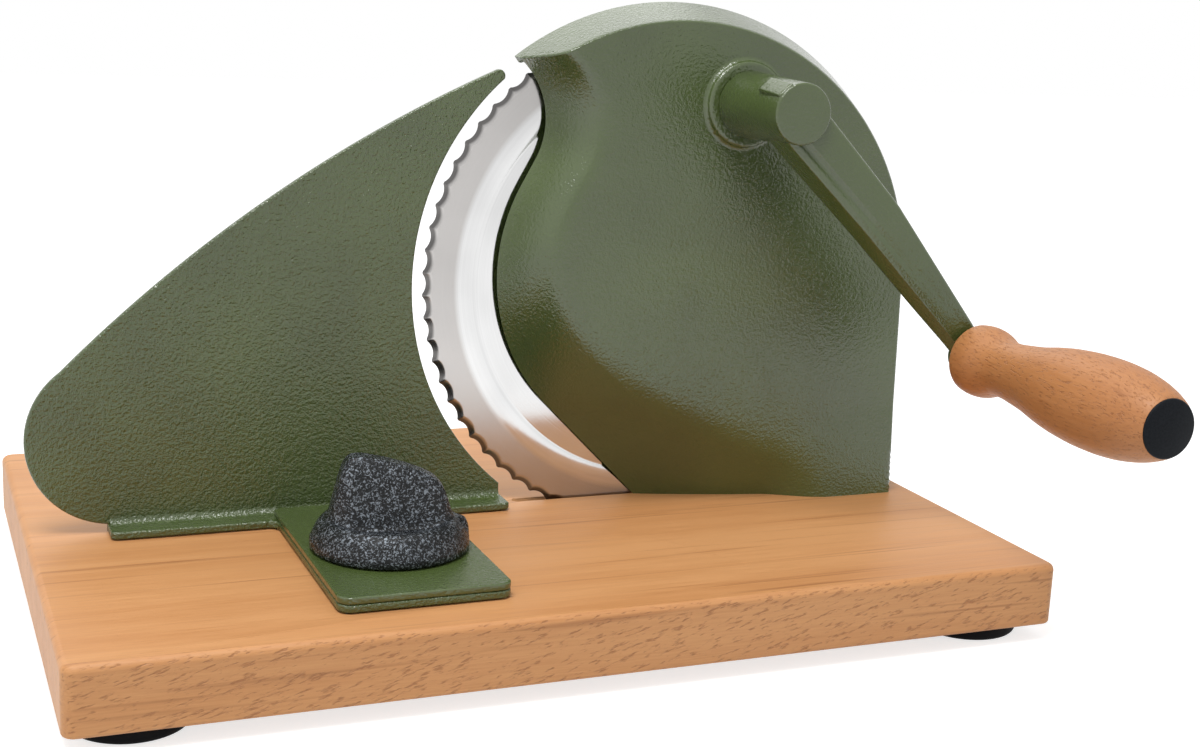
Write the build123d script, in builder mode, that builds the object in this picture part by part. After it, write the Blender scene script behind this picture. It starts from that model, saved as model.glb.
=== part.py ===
from build123d import *
from math import acos, atan2, ceil, cos, degrees, hypot, pi, radians, sin, sqrt, tan
import os

# Hand cranked bread slicer. The bread lies on the board behind the blade and is pushed along the
# stop plate; the crank and the knob are on the front. Millimetres, +X right, +Y back, +Z up.
# Origin: middle of the whole outline in plan, at the feet's underside.

# ---------------------------------------------------------------- fits
run_fit = 0.05  # radial clearance where a piece turns on another
press_fit = 0.02  # radial clearance where a piece is pressed in
screw_fit = 0.1  # radial clearance round a screw
face_gap = 0.3  # between faces that pass each other
plate_gap = 0.4  # stop plate over the board

# ---------------------------------------------------------------- board and feet
board_length = 336.0
board_width = 228.0
board_thick = 22.0
board_corner_r = 4.0
board_edge_r = 2.5
foot_r = 18.5
foot_height = 6.0
foot_edge_r = 1.8
foot_inset_x = 21.5
foot_inset_y = 23.5
foot_screw_r = 2.0
foot_screw_head_r = 3.8
foot_screw_head = 2.4
foot_screw_bite = 13.0
foot_screw_rise = 1.2  # head above the surface that the slicer stands on

# ---------------------------------------------------------------- blade
blade_from_right = 103.0
blade_from_front = 118.6  # front face of the cutting ring
blade_dip = 11.5  # blade's edge below the board's top
blade_r = 95.0
blade_thick = 1.2
blade_ring = 12.5  # flat cutting ring
blade_step = 7.5  # width of the pressed step inside the ring
blade_dish = 2.3  # middle of the blade behind its ring
blade_bevel = 3.2
blade_edge = 0.3
scallops = 72
scallop_r = 6.0
scallop_depth = 1.4
blade_slot_reach = 58.0  # half the length of the board's slot
blade_slot_side = 1.5
blade_slot_under = 3.0
blade_screw_count = 4
blade_screw_ring_r = 19.0
blade_screw_r = 2.0
blade_screw_head_r = 3.8
blade_screw_head = 1.4
blade_screw_bite = 4.5

# ---------------------------------------------------------------- axle and gears
gear_module = 2.0
blade_gear_teeth = 52
pinion_teeth = 18
pinion_face = 5.4
tooth_slack = 0.3  # taken off each tooth's thickness
pressure_angle = 20.0
axle_r = 5.0
axle_bush_wall = 2.0
axle_bite = 9.5
axle_screw_r = 3.0
axle_screw_length = 12.0
axle_screw_head_r = 12.0
axle_screw_head = 2.0
axle_screw_slot = 1.6
crank_bearing_angle = 74.8  # from the blade axis, above +X
shaft_r = 5.0
shaft_bush_wall = 2.0
pinion_screw_r = 2.0
pinion_screw_head_r = 3.8
pinion_screw_head = 2.0
pinion_screw_length = 12.0
key_side = 3.0
key_length = 5.0

# ---------------------------------------------------------------- housing
cover_depth = 22.3  # front face to the blade's cutting ring
cover_behind = 1.9  # rim past the front of the cutting ring
cover_wall = 2.6
cover_front_over = 0.7  # front outline's radius past the blade's
cover_back_over = 7.5
cover_front_shift = -4.4  # front outline's centre from the blade axis
cover_front_lift = 0.8
cover_flare = 3.2  # right wall's foot, at the front
cover_edge_r = 1.2
cowl_gap = 3.6  # cowl's free edge to the blade's ring
cowl_shows = 26.2  # width of blade that shows beside the cowl's lower, hollow stretch
cowl_hollow_x = 1.0
cowl_hollow_z = 3.4
cowl_foot_angle = 225.0
cowl_swell_r = 28.5  # upper, swelling stretch of the cowl's edge
cowl_swell_over = 4.0  # its centre, past the blade's edge
cowl_swell_angle = 143.6  # and round the blade axis, from +X
cowl_swell_end = 50.0
cowl_width_top = 15.5  # width of the slope between the edge and the front face
cowl_width_foot = 104.0
cowl_fan_height = 112.0
cowl_fan_power = 2.5
cowl_bulge_at = 0.42
cowl_bulge = 0.62
crank_boss_r = 15.5
crank_boss_height = 2.5
crank_boss_taper = 25.0
inner_boss_r = 11.0
cover_screw_r = 2.0
cover_screw_head_r = 3.6
cover_screw_head = 3.0
cover_screw_bite = 14.0
cover_screw_sink = 8.0
cover_lug_r = 4.4
cover_lug_height = 18.0
cover_rib = 3.6
blade_room = 4.3  # round the blade, inside the housing
cover_screw_spots = ((39.0, -9.2), (71.0, -13.0), (93.0, -5.0))  # from the blade axis and ring

# ---------------------------------------------------------------- crank and handle
hub_length = 41.0
hub_base_r = 12.25
hub_end_r = 10.7
hub_end_wall = 5.5
hub_edge_r = 0.8
pad_width = 6.5
pad_length = 15.0
pad_front_reach = 10.9
pad_back_reach = 12.6
grub_r = 2.5
grub_angle = 20.0
grub_from_back = 13.0
grub_head_depth = 0.6
arm_length = 115.5
arm_angle = -48.9
arm_bow = 2.2
arm_lean = 3.2  # front of the arm's end past the hub's end
arm_setback = 3.0  # front of the arm's root behind the hub's end
arm_root_thick = 14.5
arm_root_front = 8.8  # half widths
arm_root_back = 11.2
arm_middle_front = 8.0
arm_middle_back = 10.6
arm_end_thick = 7.0
arm_end_front = 4.6
arm_end_back = 7.0
bolt_r = 4.0
bolt_thread_r = 3.0
bolt_head_r = 6.5
bolt_head = 4.5
washer_r = 8.0
washer_thick = 0.8
sleeve_wall = 2.0
grip_length = 104.0
grip_end_r = 11.0
grip_collar_r = 13.2
grip_neck_r = 10.3
grip_belly_r = 16.1
grip_nose_r = 9.9
grip_collar_at = 6.0
grip_neck_at = 21.0
grip_belly_at = 72.0
grip_shoulder_r = 14.2
grip_shoulder_at = 92.5
grip_sink = 14.0
grip_sink_r = 8.2
cap_height = 1.8
cap_dome = 1.2
cap_r = 9.8
cap_plug = 6.0

# ---------------------------------------------------------------- stop plate and knob
sheet = 2.6
stop_travel = 18.0
stop_gap = 4.2  # stop plate's hollow edge to the blade
stop_left_inset = 0.6
stop_foot_left = 27.2
stop_foot_height = 7.8
stop_corner_height = 33.0
stop_shoulder_x = 12.5
stop_shoulder_height = 56.7
stop_crest_x = 82.2
stop_crest_height = 114.6
stop_tip_angle = 132.3
stop_tip_round = 3.2
flange_width = 13.0
flange_corner_r = 2.5
flange_right_extra = 1.2
bend_r = 2.4
tongue_width = 56.5
tongue_front = 18.5  # from the board's front edge
tongue_corner_r = 5.0
knob_plate_thick = 2.4
knob_from_blade = 121.2
knob_from_front = 63.8
knob_r = 26.5
knob_skirt = 2.6
knob_dome_r = 17.0
knob_dome = 12.0
knob_bulge = 1.4
knob_height = 31.0
fin_length = 39.0
fin_thick = 15.0
fin_drop = 8.0  # right end of the fin lower than the left
fin_slant = 3.0  # each side leans in by this much at the top
nub_r = 3.2
nub_height = 13.5
knob_washer_r = 10.0
knob_washer = 0.5
knob_lift = 0.1
spindle_r = 4.0
spindle_end_r = 2.5
spindle_grip = 11.0
spindle_bush_wall = 2.0
knob_pinion_module = 1.0
knob_pinion_teeth = 12
knob_pinion_face = 4.6
clip_r = 4.5
clip_thick = 0.8
rack_length = 42.0
rack_back = 5.0
pocket_depth = 7.4
rack_screw_r = 1.25
rack_screw_head_r = 2.2
rack_screw_head = 1.6
rack_screw_bite = 8.0
rail_offset = 20.0  # from the knob's axis, to each side
rail_width = 12.0
rail_depth = 7.0
rail_wall = 1.4
rail_mouth = 6.2
rail_length = 82.0
rail_front = 20.0  # from the board's front edge
rail_screw_r = 1.5
rail_screw_head_r = 2.2
rail_screw_head = 1.0
rail_screw_bite = 10.0
rail_screw_inset = 3.6
shoe_length = 36.0
shoe_screw_r = 1.5
shoe_screw_head_r = 2.8
shoe_screw_head = 1.3
shoe_screw_offset = 11.0
shoe_screw_bite = 3.0

# ---------------------------------------------------------------- places
blade_from_left = board_length - blade_from_right
blade_axis_height = blade_r - blade_dip  # above the board
knob_from_left = blade_from_left - knob_from_blade
cover_front_r = blade_r + cover_front_over
cover_back_r = blade_r + cover_back_over
cowl_hollow_r = blade_r - cowl_shows
cowl_swell_from_blade = blade_r + cowl_swell_over
cowl_swell_x = cowl_swell_from_blade * cos(radians(cowl_swell_angle))
cowl_swell_z = cowl_swell_from_blade * sin(radians(cowl_swell_angle))
centre_distance = gear_module * (blade_gear_teeth + pinion_teeth) / 2
bearing = radians(crank_bearing_angle)
arm_turn = radians(arm_angle)
crank_from_blade_x = centre_distance * cos(bearing)
crank_from_blade_z = centre_distance * sin(bearing)

boss_from_front = blade_from_front - cover_depth - crank_boss_height
hub_from_front = boss_from_front - face_gap - hub_length
arm_end_from_front = hub_from_front - arm_lean
grip_from_front = arm_end_from_front - washer_thick - face_gap
reach_front = min(0.0, grip_from_front - grip_length - cap_height)
handle_from_left = blade_from_left + crank_from_blade_x + arm_length * cos(arm_turn)
reach_right = max(board_length, handle_from_left + grip_belly_r)

left = -reach_right / 2  # board's left edge
front = -(reach_front + board_width) / 2  # board's front edge
board_bottom = foot_height
board_top = board_bottom + board_thick

blade_x = left + blade_from_left
blade_y = front + blade_from_front
blade_z = board_top + blade_axis_height
blade_back = blade_y + blade_thick
dish_front = blade_y + blade_dish
dish_back = dish_front + blade_thick
pinion_back = blade_y - face_gap
gear_front = pinion_back - pinion_face
gear_face = dish_front - gear_front
boss_end = gear_front - face_gap

cover_front = blade_y - cover_depth
cover_back = blade_y + cover_behind
cowl_edge_y = blade_y - cowl_gap
boss_front = cover_front - crank_boss_height

crank_x = blade_x + crank_from_blade_x
crank_z = blade_z + crank_from_blade_z
hub_back = boss_front - face_gap
hub_front = hub_back - hub_length
arm_end_front_y = hub_front - arm_lean
handle_x = crank_x + arm_length * cos(arm_turn)
handle_z = crank_z + arm_length * sin(arm_turn)
grip_back = arm_end_front_y - washer_thick - face_gap
grip_front = grip_back - grip_length
sink_floor = grip_front + grip_sink

stop_back = blade_back
stop_face = stop_back - sheet
flange_bottom = board_top + plate_gap
flange_top = flange_bottom + sheet
knob_plate_top = flange_top + knob_plate_thick
tongue_front_y = front + tongue_front
stop_edge_r = blade_r + stop_gap
knob_x = left + knob_from_left
knob_y = front + knob_from_front
knob_base = knob_plate_top + knob_lift + knob_washer
knob_pinion_r = knob_pinion_module * knob_pinion_teeth / 2
knob_pinion_top = flange_bottom - face_gap
knob_pinion_bottom = knob_pinion_top - knob_pinion_face
rail_xs = (knob_x - rail_offset, knob_x + rail_offset)
rail_front_y = front + rail_front
rail_middle_y = rail_front_y + rail_length / 2
rail_bottom = board_top - rail_depth
foot_reach_x = board_length / 2 - foot_inset_x
foot_reach_y = board_width / 2 - foot_inset_y
foot_spots = GridLocations(2 * foot_reach_x, 2 * foot_reach_y, 2, 2)
board_centre = (left + board_length / 2, front + board_width / 2)


def facing(y, x=0.0, z=0.0):
    """Upright plane at a depth y that looks to the front: its X is +X, its Y is +Z."""
    return Plane(origin=(x, y, z), x_dir=(1, 0, 0), z_dir=(0, -1, 0))


def level(z, x=0.0, y=0.0):
    """Level plane at a height z, with its origin over a point."""
    return Plane(origin=(x, y, z))


def lengthwise(x, z):
    """Line along +Y through a point, to revolve about."""
    return Axis((x, 0, z), (0, 1, 0))


def save(piece, name):
    """Names a finished piece and writes it."""
    piece.label = name
    export_step(piece, f"parts/{name}.step")


def rod(plane, radius, length):
    """Round bar of a radius from a plane, along its normal."""
    with BuildPart() as bar:
        with BuildSketch(plane):
            Circle(radius)
        extrude(amount=length)
    return bar.part


def tube(plane, bore, radius, length):
    """Round tube from a plane, along its normal."""
    with BuildPart() as ring:
        with BuildSketch(plane):
            Circle(radius)
            Circle(bore, mode=Mode.SUBTRACT)
        extrude(amount=length)
    return ring.part


def tooth_corners(module, teeth):
    """Corners of one gear tooth along +X; its flanks are involutes of the base circle."""
    pitch_r = module * teeth / 2
    base_r = pitch_r * cos(radians(pressure_angle))
    root_r = pitch_r - 1.25 * module
    tip_r = pitch_r + 0.95 * module
    at_pitch = pi / (2 * teeth) - tooth_slack / (2 * pitch_r)
    unwound = tan(radians(pressure_angle)) - radians(pressure_angle)
    start_r = max(base_r, root_r)
    steps = 4
    flank = []
    for step in range(steps + 1):
        radius = start_r + (tip_r - start_r) * step / steps
        slant = acos(base_r / radius)
        flank.append((radius, at_pitch + unwound - (tan(slant) - slant)))
    flank.insert(0, (root_r - 0.2 * module, flank[0][1]))
    lower = [(r * cos(a), -r * sin(a)) for r, a in flank]
    upper = [(r * cos(a), r * sin(a)) for r, a in reversed(flank)]
    return lower + upper


def gear_disc(plane, module, teeth, first_tooth, bore, face):
    """Spur gear with its first tooth at an angle in degrees."""
    with BuildPart() as disc:
        with BuildSketch(plane):
            Circle(module * teeth / 2 - 1.25 * module)
            with PolarLocations(0, teeth, start_angle=first_tooth):
                Polygon(*tooth_corners(module, teeth), align=None)
            Circle(bore, mode=Mode.SUBTRACT)
        extrude(amount=face)
    return disc.part


# ================================================================ board, feet
with BuildPart() as board:
    with BuildSketch(level(board_bottom, *board_centre)):
        RectangleRounded(board_length, board_width, board_corner_r)
    extrude(amount=board_thick)
    fillet(board.faces().group_by(Axis.Z)[-1].edges(), board_edge_r)
    fillet(board.faces().group_by(Axis.Z)[0].edges(), board_edge_r / 2)
    slot_width = blade_thick + 2 * blade_slot_side
    slot_depth = blade_r - blade_axis_height + blade_slot_under
    with BuildSketch(level(board_top, blade_x, blade_y + blade_thick / 2)):
        SlotOverall(2 * blade_slot_reach, slot_width)
    extrude(amount=-slot_depth, mode=Mode.SUBTRACT)
    with BuildSketch(level(board_top)):
        for rail_x in rail_xs:
            with Locations((rail_x, rail_middle_y)):
                Rectangle(rail_width + 2 * press_fit, rail_length + 2 * press_fit)
    extrude(amount=-rail_depth, mode=Mode.SUBTRACT)
    pocket_left = knob_x - knob_pinion_r - 1.25 * knob_pinion_module - rack_back
    pocket_right = knob_x + knob_pinion_r + 2 * knob_pinion_module
    pocket_back = knob_y + rack_length / 2 - stop_travel / 2 + face_gap
    pocket_front = pocket_back - rack_length - 2 * face_gap
    with BuildSketch(level(board_top)):
        with Locations(((pocket_left + pocket_right) / 2, (pocket_front + pocket_back) / 2)):
            Rectangle(pocket_right - pocket_left, pocket_back - pocket_front)
    extrude(amount=-pocket_depth, mode=Mode.SUBTRACT)
    with BuildSketch(level(board_bottom, *board_centre)):
        with foot_spots:
            Circle(foot_screw_r + screw_fit)
    extrude(amount=foot_screw_bite, mode=Mode.SUBTRACT)
    with BuildSketch(level(board_bottom, blade_x, blade_y)):
        with Locations(*cover_screw_spots):
            Circle(cover_screw_r + screw_fit)
    extrude(amount=board_thick, mode=Mode.SUBTRACT)
    with BuildSketch(level(board_bottom, blade_x, blade_y)):
        with Locations(*cover_screw_spots):
            Circle(cover_screw_head_r + screw_fit)
    extrude(amount=cover_screw_sink, mode=Mode.SUBTRACT)
    rail_screw_ys = (
        rail_front_y + rail_screw_inset,
        rail_front_y + rail_length - rail_screw_inset,
    )
    with BuildSketch(level(rail_bottom)):
        with Locations(*[(x, y) for x in rail_xs for y in rail_screw_ys]):
            Circle(rail_screw_r + screw_fit)
    extrude(amount=-rail_screw_bite, mode=Mode.SUBTRACT)
    rack_x = pocket_left + rack_back / 2
    rack_middle_y = (pocket_front + pocket_back) / 2
    rack_screw_ys = (rack_middle_y - rack_length / 3, rack_middle_y + rack_length / 3)
    with BuildSketch(level(board_top - pocket_depth)):
        with Locations(*[(rack_x, y) for y in rack_screw_ys]):
            Circle(rack_screw_r + screw_fit)
    extrude(amount=-rack_screw_bite, mode=Mode.SUBTRACT)
save(board.part, "board")

with BuildPart() as feet:
    with BuildSketch(level(0, *board_centre)):
        with foot_spots:
            Circle(foot_r)
    extrude(amount=foot_height)
    fillet(feet.faces().group_by(Axis.Z)[0].edges(), foot_edge_r)
    with BuildSketch(level(0, *board_centre)):
        with foot_spots:
            Circle(foot_screw_r + screw_fit)
    extrude(amount=foot_height, mode=Mode.SUBTRACT)
    with BuildSketch(level(0, *board_centre)):
        with foot_spots:
            Circle(foot_screw_head_r + face_gap)
    extrude(amount=foot_screw_rise + foot_screw_head, mode=Mode.SUBTRACT)
save(feet.part, "rubber_feet")

with BuildPart() as foot_screws:
    with BuildSketch(level(foot_screw_rise, *board_centre)):
        with foot_spots:
            Circle(foot_screw_head_r)
    extrude(amount=foot_screw_head)
    shank_from = foot_screw_rise + foot_screw_head
    with BuildSketch(level(shank_from, *board_centre)):
        with foot_spots:
            Circle(foot_screw_r)
    extrude(amount=board_bottom + foot_screw_bite - 1.0 - shank_from)
save(foot_screws.part, "foot_screws")


# ================================================================ housing
def cowl_edge_x(height, inset):
    """X of the cowl's free edge at a height above the board, moved into the cover by inset.

    From the board up: a straight line, a hollow arc, a straight crossing and a swelling arc,
    each running on from the one before.
    """
    hollow_r = cowl_hollow_r - inset
    swell_r = cowl_swell_r + inset
    hollow = (blade_x + cowl_hollow_x, blade_axis_height + cowl_hollow_z)
    swell = (blade_x + cowl_swell_x, blade_axis_height + cowl_swell_z)
    run_x = swell[0] - hollow[0]
    run_z = swell[1] - hollow[1]
    turn = atan2(run_z, run_x) + acos((hollow_r + swell_r) / hypot(run_x, run_z))
    foot = radians(cowl_foot_angle)
    end = radians(cowl_swell_end)
    foot_z = hollow[1] + hollow_r * sin(foot)
    leave_z = hollow[1] + hollow_r * sin(turn)
    meet_z = swell[1] - swell_r * sin(turn)
    end_z = swell[1] + swell_r * sin(end)
    if height < foot_z:
        return hollow[0] + hollow_r * cos(foot) - (foot_z - height) * tan(foot + pi / 2)
    if height < leave_z:
        return hollow[0] - sqrt(hollow_r**2 - (height - hollow[1]) ** 2)
    if height < meet_z:
        leave_x = hollow[0] + hollow_r * cos(turn)
        meet_x = swell[0] - swell_r * cos(turn)
        return leave_x + (meet_x - leave_x) * (height - leave_z) / (meet_z - leave_z)
    if height < end_z:
        return swell[0] + sqrt(swell_r**2 - (height - swell[1]) ** 2)
    return swell[0] + swell_r * cos(end) - (height - end_z) * tan(end)


def cowl_width(height):
    """Width of the slope from the cowl's edge to the front face: it fans out to the foot."""
    fan = max(0.0, 1 - max(height, 0.0) / cowl_fan_height)
    return cowl_width_top + (cowl_width_foot - cowl_width_top) * fan**cowl_fan_power


def cover_space(inset, back, foot):
    """Room inside the cover's outline: the drafted rim, cut to the cowl's slope.

    The inset is 0 for the outside and the wall for the cavity.
    """
    face = cover_front + inset
    with BuildPart() as space:
        for y in (face, back):
            depth = (y - cover_front) / (cover_back - cover_front)
            radius = cover_front_r + (cover_back_r - cover_front_r) * depth - inset
            middle_x = blade_x + cover_front_shift * (1 - depth)
            middle_z = blade_z + cover_front_lift * (1 - depth)
            foot_x = middle_x + radius + cover_flare * (1 - depth)
            with BuildSketch(facing(y)):
                with BuildLine():
                    right = (middle_x + radius, middle_z)
                    over = (middle_x, middle_z + radius)
                    far = (middle_x - radius, middle_z)
                    ThreePointArc(right, over, far)
                    Polyline(far, (far[0], foot), (foot_x, foot), right)
                make_face()
        loft(ruled=True)
        if inset == 0:
            rim_edges = space.faces().sort_by(Axis.Y)[0].edges()
            upper_edges = rim_edges.filter_by(lambda e: e.center().Z > foot + 1)
            fillet(upper_edges.filter_by(lambda e: e.center().X > blade_x - 2), cover_edge_r)
        far_x = blade_x + 2 * cover_back_r
        back_y = back + 1
        top = cover_back_r + blade_axis_height + 6
        section_count = 18
        for section in range(section_count + 1):
            height = -2 + (top + 2) * section / section_count
            edge_x = cowl_edge_x(height, inset)
            crease_x = edge_x + cowl_width(height)
            bulge_x = edge_x + (crease_x - edge_x) * cowl_bulge_at
            bulge_y = cowl_edge_y + inset * cowl_bulge - (cowl_edge_y - cover_front) * cowl_bulge
            with BuildSketch(level(board_top + height)):
                with BuildLine():
                    ThreePointArc((edge_x, cowl_edge_y), (bulge_x, bulge_y), (crease_x, face))
                    Polyline(
                        (crease_x, face),
                        (far_x, face),
                        (far_x, back_y),
                        (edge_x, back_y),
                        (edge_x, cowl_edge_y),
                    )
                make_face()
        loft(mode=Mode.INTERSECT)
    return space.part


cover_outside = cover_space(0, cover_back, board_top)
cover_cavity = cover_space(cover_wall, cover_back + 2, board_top - 2)

with BuildPart() as cover_lugs:
    with BuildSketch(level(board_top, blade_x, blade_y)):
        for spot_x, spot_y in cover_screw_spots:
            with Locations((spot_x, spot_y)):
                Circle(cover_lug_r)
            with Locations((spot_x, (spot_y - cover_depth) / 2)):
                Rectangle(cover_rib, spot_y + cover_depth)
    extrude(amount=cover_lug_height)
    add(cover_outside, mode=Mode.INTERSECT)

with BuildPart() as housing:
    add(cover_outside)
    add(cover_cavity, mode=Mode.SUBTRACT)
    with BuildSketch(facing(cover_back + 1, blade_x, blade_z)):
        Circle(blade_r + blade_room)
    extrude(amount=cover_back + 1 - cowl_edge_y, mode=Mode.SUBTRACT)
    with BuildSketch(facing(cover_front + cover_wall / 2, crank_x, crank_z)):
        Circle(crank_boss_r + cover_wall / 2 * tan(radians(crank_boss_taper)))
    extrude(amount=crank_boss_height + cover_wall / 2, taper=crank_boss_taper)
    with BuildSketch(facing(boss_end, crank_x, crank_z)):
        Circle(inner_boss_r)
        with Locations((blade_x - crank_x, blade_z - crank_z)):
            Circle(inner_boss_r)
    extrude(amount=boss_end - cover_front - cover_wall / 2)
    add(cover_lugs.part)
    with BuildSketch(level(board_top, blade_x, blade_y)):
        with Locations(*cover_screw_spots):
            Circle(cover_screw_r + screw_fit)
    extrude(amount=cover_screw_bite, mode=Mode.SUBTRACT)
    with BuildSketch(facing(boss_end, crank_x, crank_z)):
        Circle(shaft_r + run_fit + shaft_bush_wall + press_fit)
    extrude(amount=boss_end - boss_front, mode=Mode.SUBTRACT)
    with BuildSketch(facing(boss_end, blade_x, blade_z)):
        Circle(axle_r + press_fit)
    extrude(amount=axle_bite, mode=Mode.SUBTRACT)
save(housing.part, "housing")

with BuildPart() as cover_screws:
    with BuildSketch(level(board_bottom + cover_screw_sink - cover_screw_head, blade_x, blade_y)):
        with Locations(*cover_screw_spots):
            Circle(cover_screw_head_r)
    extrude(amount=cover_screw_head)
    with BuildSketch(level(board_bottom + cover_screw_sink, blade_x, blade_y)):
        with Locations(*cover_screw_spots):
            Circle(cover_screw_r)
    extrude(amount=board_thick - cover_screw_sink + cover_screw_bite - 1.0)
save(cover_screws.part, "housing_screws")

crank_bush = tube(
    facing(boss_end, crank_x, crank_z),
    shaft_r + run_fit,
    shaft_r + run_fit + shaft_bush_wall,
    boss_end - boss_front,
)
save(crank_bush, "crank_bush")

# ================================================================ blade on its axle
axle_back = dish_back + face_gap
with BuildPart() as blade_axle:
    with BuildSketch(facing(axle_back, blade_x, blade_z)):
        Circle(axle_r)
    extrude(amount=axle_back - boss_end + axle_bite)
    with BuildSketch(facing(axle_back, blade_x, blade_z)):
        Circle(axle_screw_r + screw_fit)
    extrude(amount=axle_screw_length + 1.0, mode=Mode.SUBTRACT)
save(blade_axle.part, "blade_axle")

with BuildPart() as axle_screw:
    with BuildSketch(facing(axle_back, blade_x, blade_z)):
        Circle(axle_screw_r)
    extrude(amount=axle_screw_length)
    with BuildSketch(facing(axle_back + axle_screw_head, blade_x, blade_z)):
        Circle(axle_screw_head_r)
    extrude(amount=axle_screw_head)
    with BuildSketch(facing(axle_back + axle_screw_head, blade_x, blade_z)):
        Rectangle(2 * axle_screw_head_r, axle_screw_slot)
    extrude(amount=axle_screw_head / 2, mode=Mode.SUBTRACT)
save(axle_screw.part, "axle_screw")

bush_r = axle_r + run_fit + axle_bush_wall
gear_bush = tube(
    facing(dish_back, blade_x, blade_z), axle_r + run_fit, bush_r, dish_back - gear_front
)
save(gear_bush, "gear_bush")

ring_in = blade_r - blade_ring
dish_r = ring_in - blade_step
with BuildPart() as blade:
    with BuildSketch(Plane(origin=(blade_x, blade_y, blade_z))):
        Polygon(
            (bush_r + press_fit, blade_dish),
            (dish_r, blade_dish),
            (ring_in, 0),
            (blade_r - blade_bevel, 0),
            (blade_r, blade_thick - blade_edge),
            (blade_r, blade_thick),
            (ring_in, blade_thick),
            (dish_r, blade_thick + blade_dish),
            (bush_r + press_fit, blade_thick + blade_dish),
            align=None,
        )
    revolve(axis=lengthwise(blade_x, blade_z))
    with BuildSketch(facing(blade_back + 1, blade_x, blade_z)):
        with PolarLocations(blade_r - scallop_depth + scallop_r, scallops):
            Circle(scallop_r)
    extrude(amount=blade_thick + 2, mode=Mode.SUBTRACT)
    with BuildSketch(facing(dish_back + 1, blade_x, blade_z)):
        with PolarLocations(blade_screw_ring_r, blade_screw_count):
            Circle(blade_screw_r + screw_fit)
    extrude(amount=blade_thick + 2, mode=Mode.SUBTRACT)
save(blade.part, "blade")

gear_plane = facing(dish_front, blade_x, blade_z)
with BuildPart() as blade_gear:
    add(
        gear_disc(
            gear_plane,
            gear_module,
            blade_gear_teeth,
            crank_bearing_angle,
            bush_r + press_fit,
            gear_face,
        )
    )
    with BuildSketch(gear_plane):
        with PolarLocations(blade_screw_ring_r, blade_screw_count):
            Circle(blade_screw_r + screw_fit)
    extrude(amount=blade_screw_bite + 0.5, mode=Mode.SUBTRACT)
save(blade_gear.part, "blade_gear")

with BuildPart() as blade_screws:
    with BuildSketch(facing(dish_back, blade_x, blade_z)):
        with PolarLocations(blade_screw_ring_r, blade_screw_count):
            Circle(blade_screw_r)
    extrude(amount=blade_thick + blade_screw_bite)
    with BuildSketch(facing(dish_back + blade_screw_head, blade_x, blade_z)):
        with PolarLocations(blade_screw_ring_r, blade_screw_count):
            Circle(blade_screw_head_r)
    extrude(amount=blade_screw_head)
save(blade_screws.part, "blade_screws")

# ================================================================ crank
arm_dir = (cos(arm_turn), 0, sin(arm_turn))
arm_side = (-sin(arm_turn), 0, cos(arm_turn))


def arm_plane(along, across):
    """Plane square to the arm at a distance along it; its Y points to the front."""
    origin = (
        crank_x + along * arm_dir[0] + across * arm_side[0],
        hub_front,
        crank_z + along * arm_dir[2] + across * arm_side[2],
    )
    return Plane(origin=origin, x_dir=arm_side, z_dir=arm_dir)


middle_forward = (arm_lean - arm_setback) / 2
middle_thick = (arm_root_thick + arm_end_thick) / 2
# along the arm, to its side, half widths of the front and back faces, front face forward of the
# hub's end, thickness
arm_root = (0, 0, arm_root_front, arm_root_back, -arm_setback, arm_root_thick)
arm_middle = (
    arm_length / 2,
    arm_bow,
    arm_middle_front,
    arm_middle_back,
    middle_forward,
    middle_thick,
)
arm_tip = (arm_length, 0, arm_end_front, arm_end_back, arm_lean, arm_end_thick)
with BuildPart() as arm:
    for along, across, half_front, half_back, forward, thick in (arm_root, arm_middle, arm_tip):
        with BuildSketch(arm_plane(along, across)):
            Polygon(
                (-half_front, forward),
                (half_front, forward),
                (half_back, forward - thick),
                (-half_back, forward - thick),
                align=None,
            )
    loft()

with BuildPart() as crank:
    with BuildSketch(facing(hub_back, crank_x, crank_z)):
        Circle(hub_base_r)
    hub_taper = degrees(atan2(hub_base_r - hub_end_r, hub_length))
    extrude(amount=hub_length, taper=hub_taper)
    fillet(crank.faces().sort_by(Axis.Y)[0].edges(), hub_edge_r)
    add(arm.part)
    with BuildSketch(facing(arm_end_front_y, handle_x, handle_z)):
        Circle(arm_end_back)
    extrude(amount=-arm_end_thick)
    pad_dir = (-arm_dir[0], 0, -arm_dir[2])
    with BuildSketch(Plane(origin=(crank_x, hub_front, crank_z), x_dir=pad_dir, z_dir=arm_side)):
        Polygon(
            (0, -hub_edge_r),
            (pad_front_reach, -hub_edge_r),
            (pad_back_reach, -pad_length),
            (0, -pad_length),
            align=None,
        )
    extrude(amount=pad_width / 2, both=True)
    with BuildSketch(facing(hub_back, crank_x, crank_z)):
        Circle(shaft_r + press_fit)
    extrude(amount=hub_length - hub_end_wall, mode=Mode.SUBTRACT)
    with BuildSketch(facing(arm_end_front_y, handle_x, handle_z)):
        Circle(bolt_thread_r + screw_fit)
    extrude(amount=-arm_end_thick, mode=Mode.SUBTRACT)
    grub_turn = radians(grub_angle)
    grub_plane = Plane(
        origin=(crank_x, hub_back - grub_from_back, crank_z),
        x_dir=(0, 1, 0),
        z_dir=(cos(grub_turn), 0, sin(grub_turn)),
    )
    with BuildSketch(grub_plane):
        Circle(grub_r + press_fit)
    extrude(amount=hub_base_r + 1, mode=Mode.SUBTRACT)
save(crank.part, "crank_casting")

grub_screw = rod(
    grub_plane.offset(shaft_r + press_fit), grub_r, hub_end_r - grub_head_depth - shaft_r
)
save(grub_screw, "crank_grub_screw")

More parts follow.
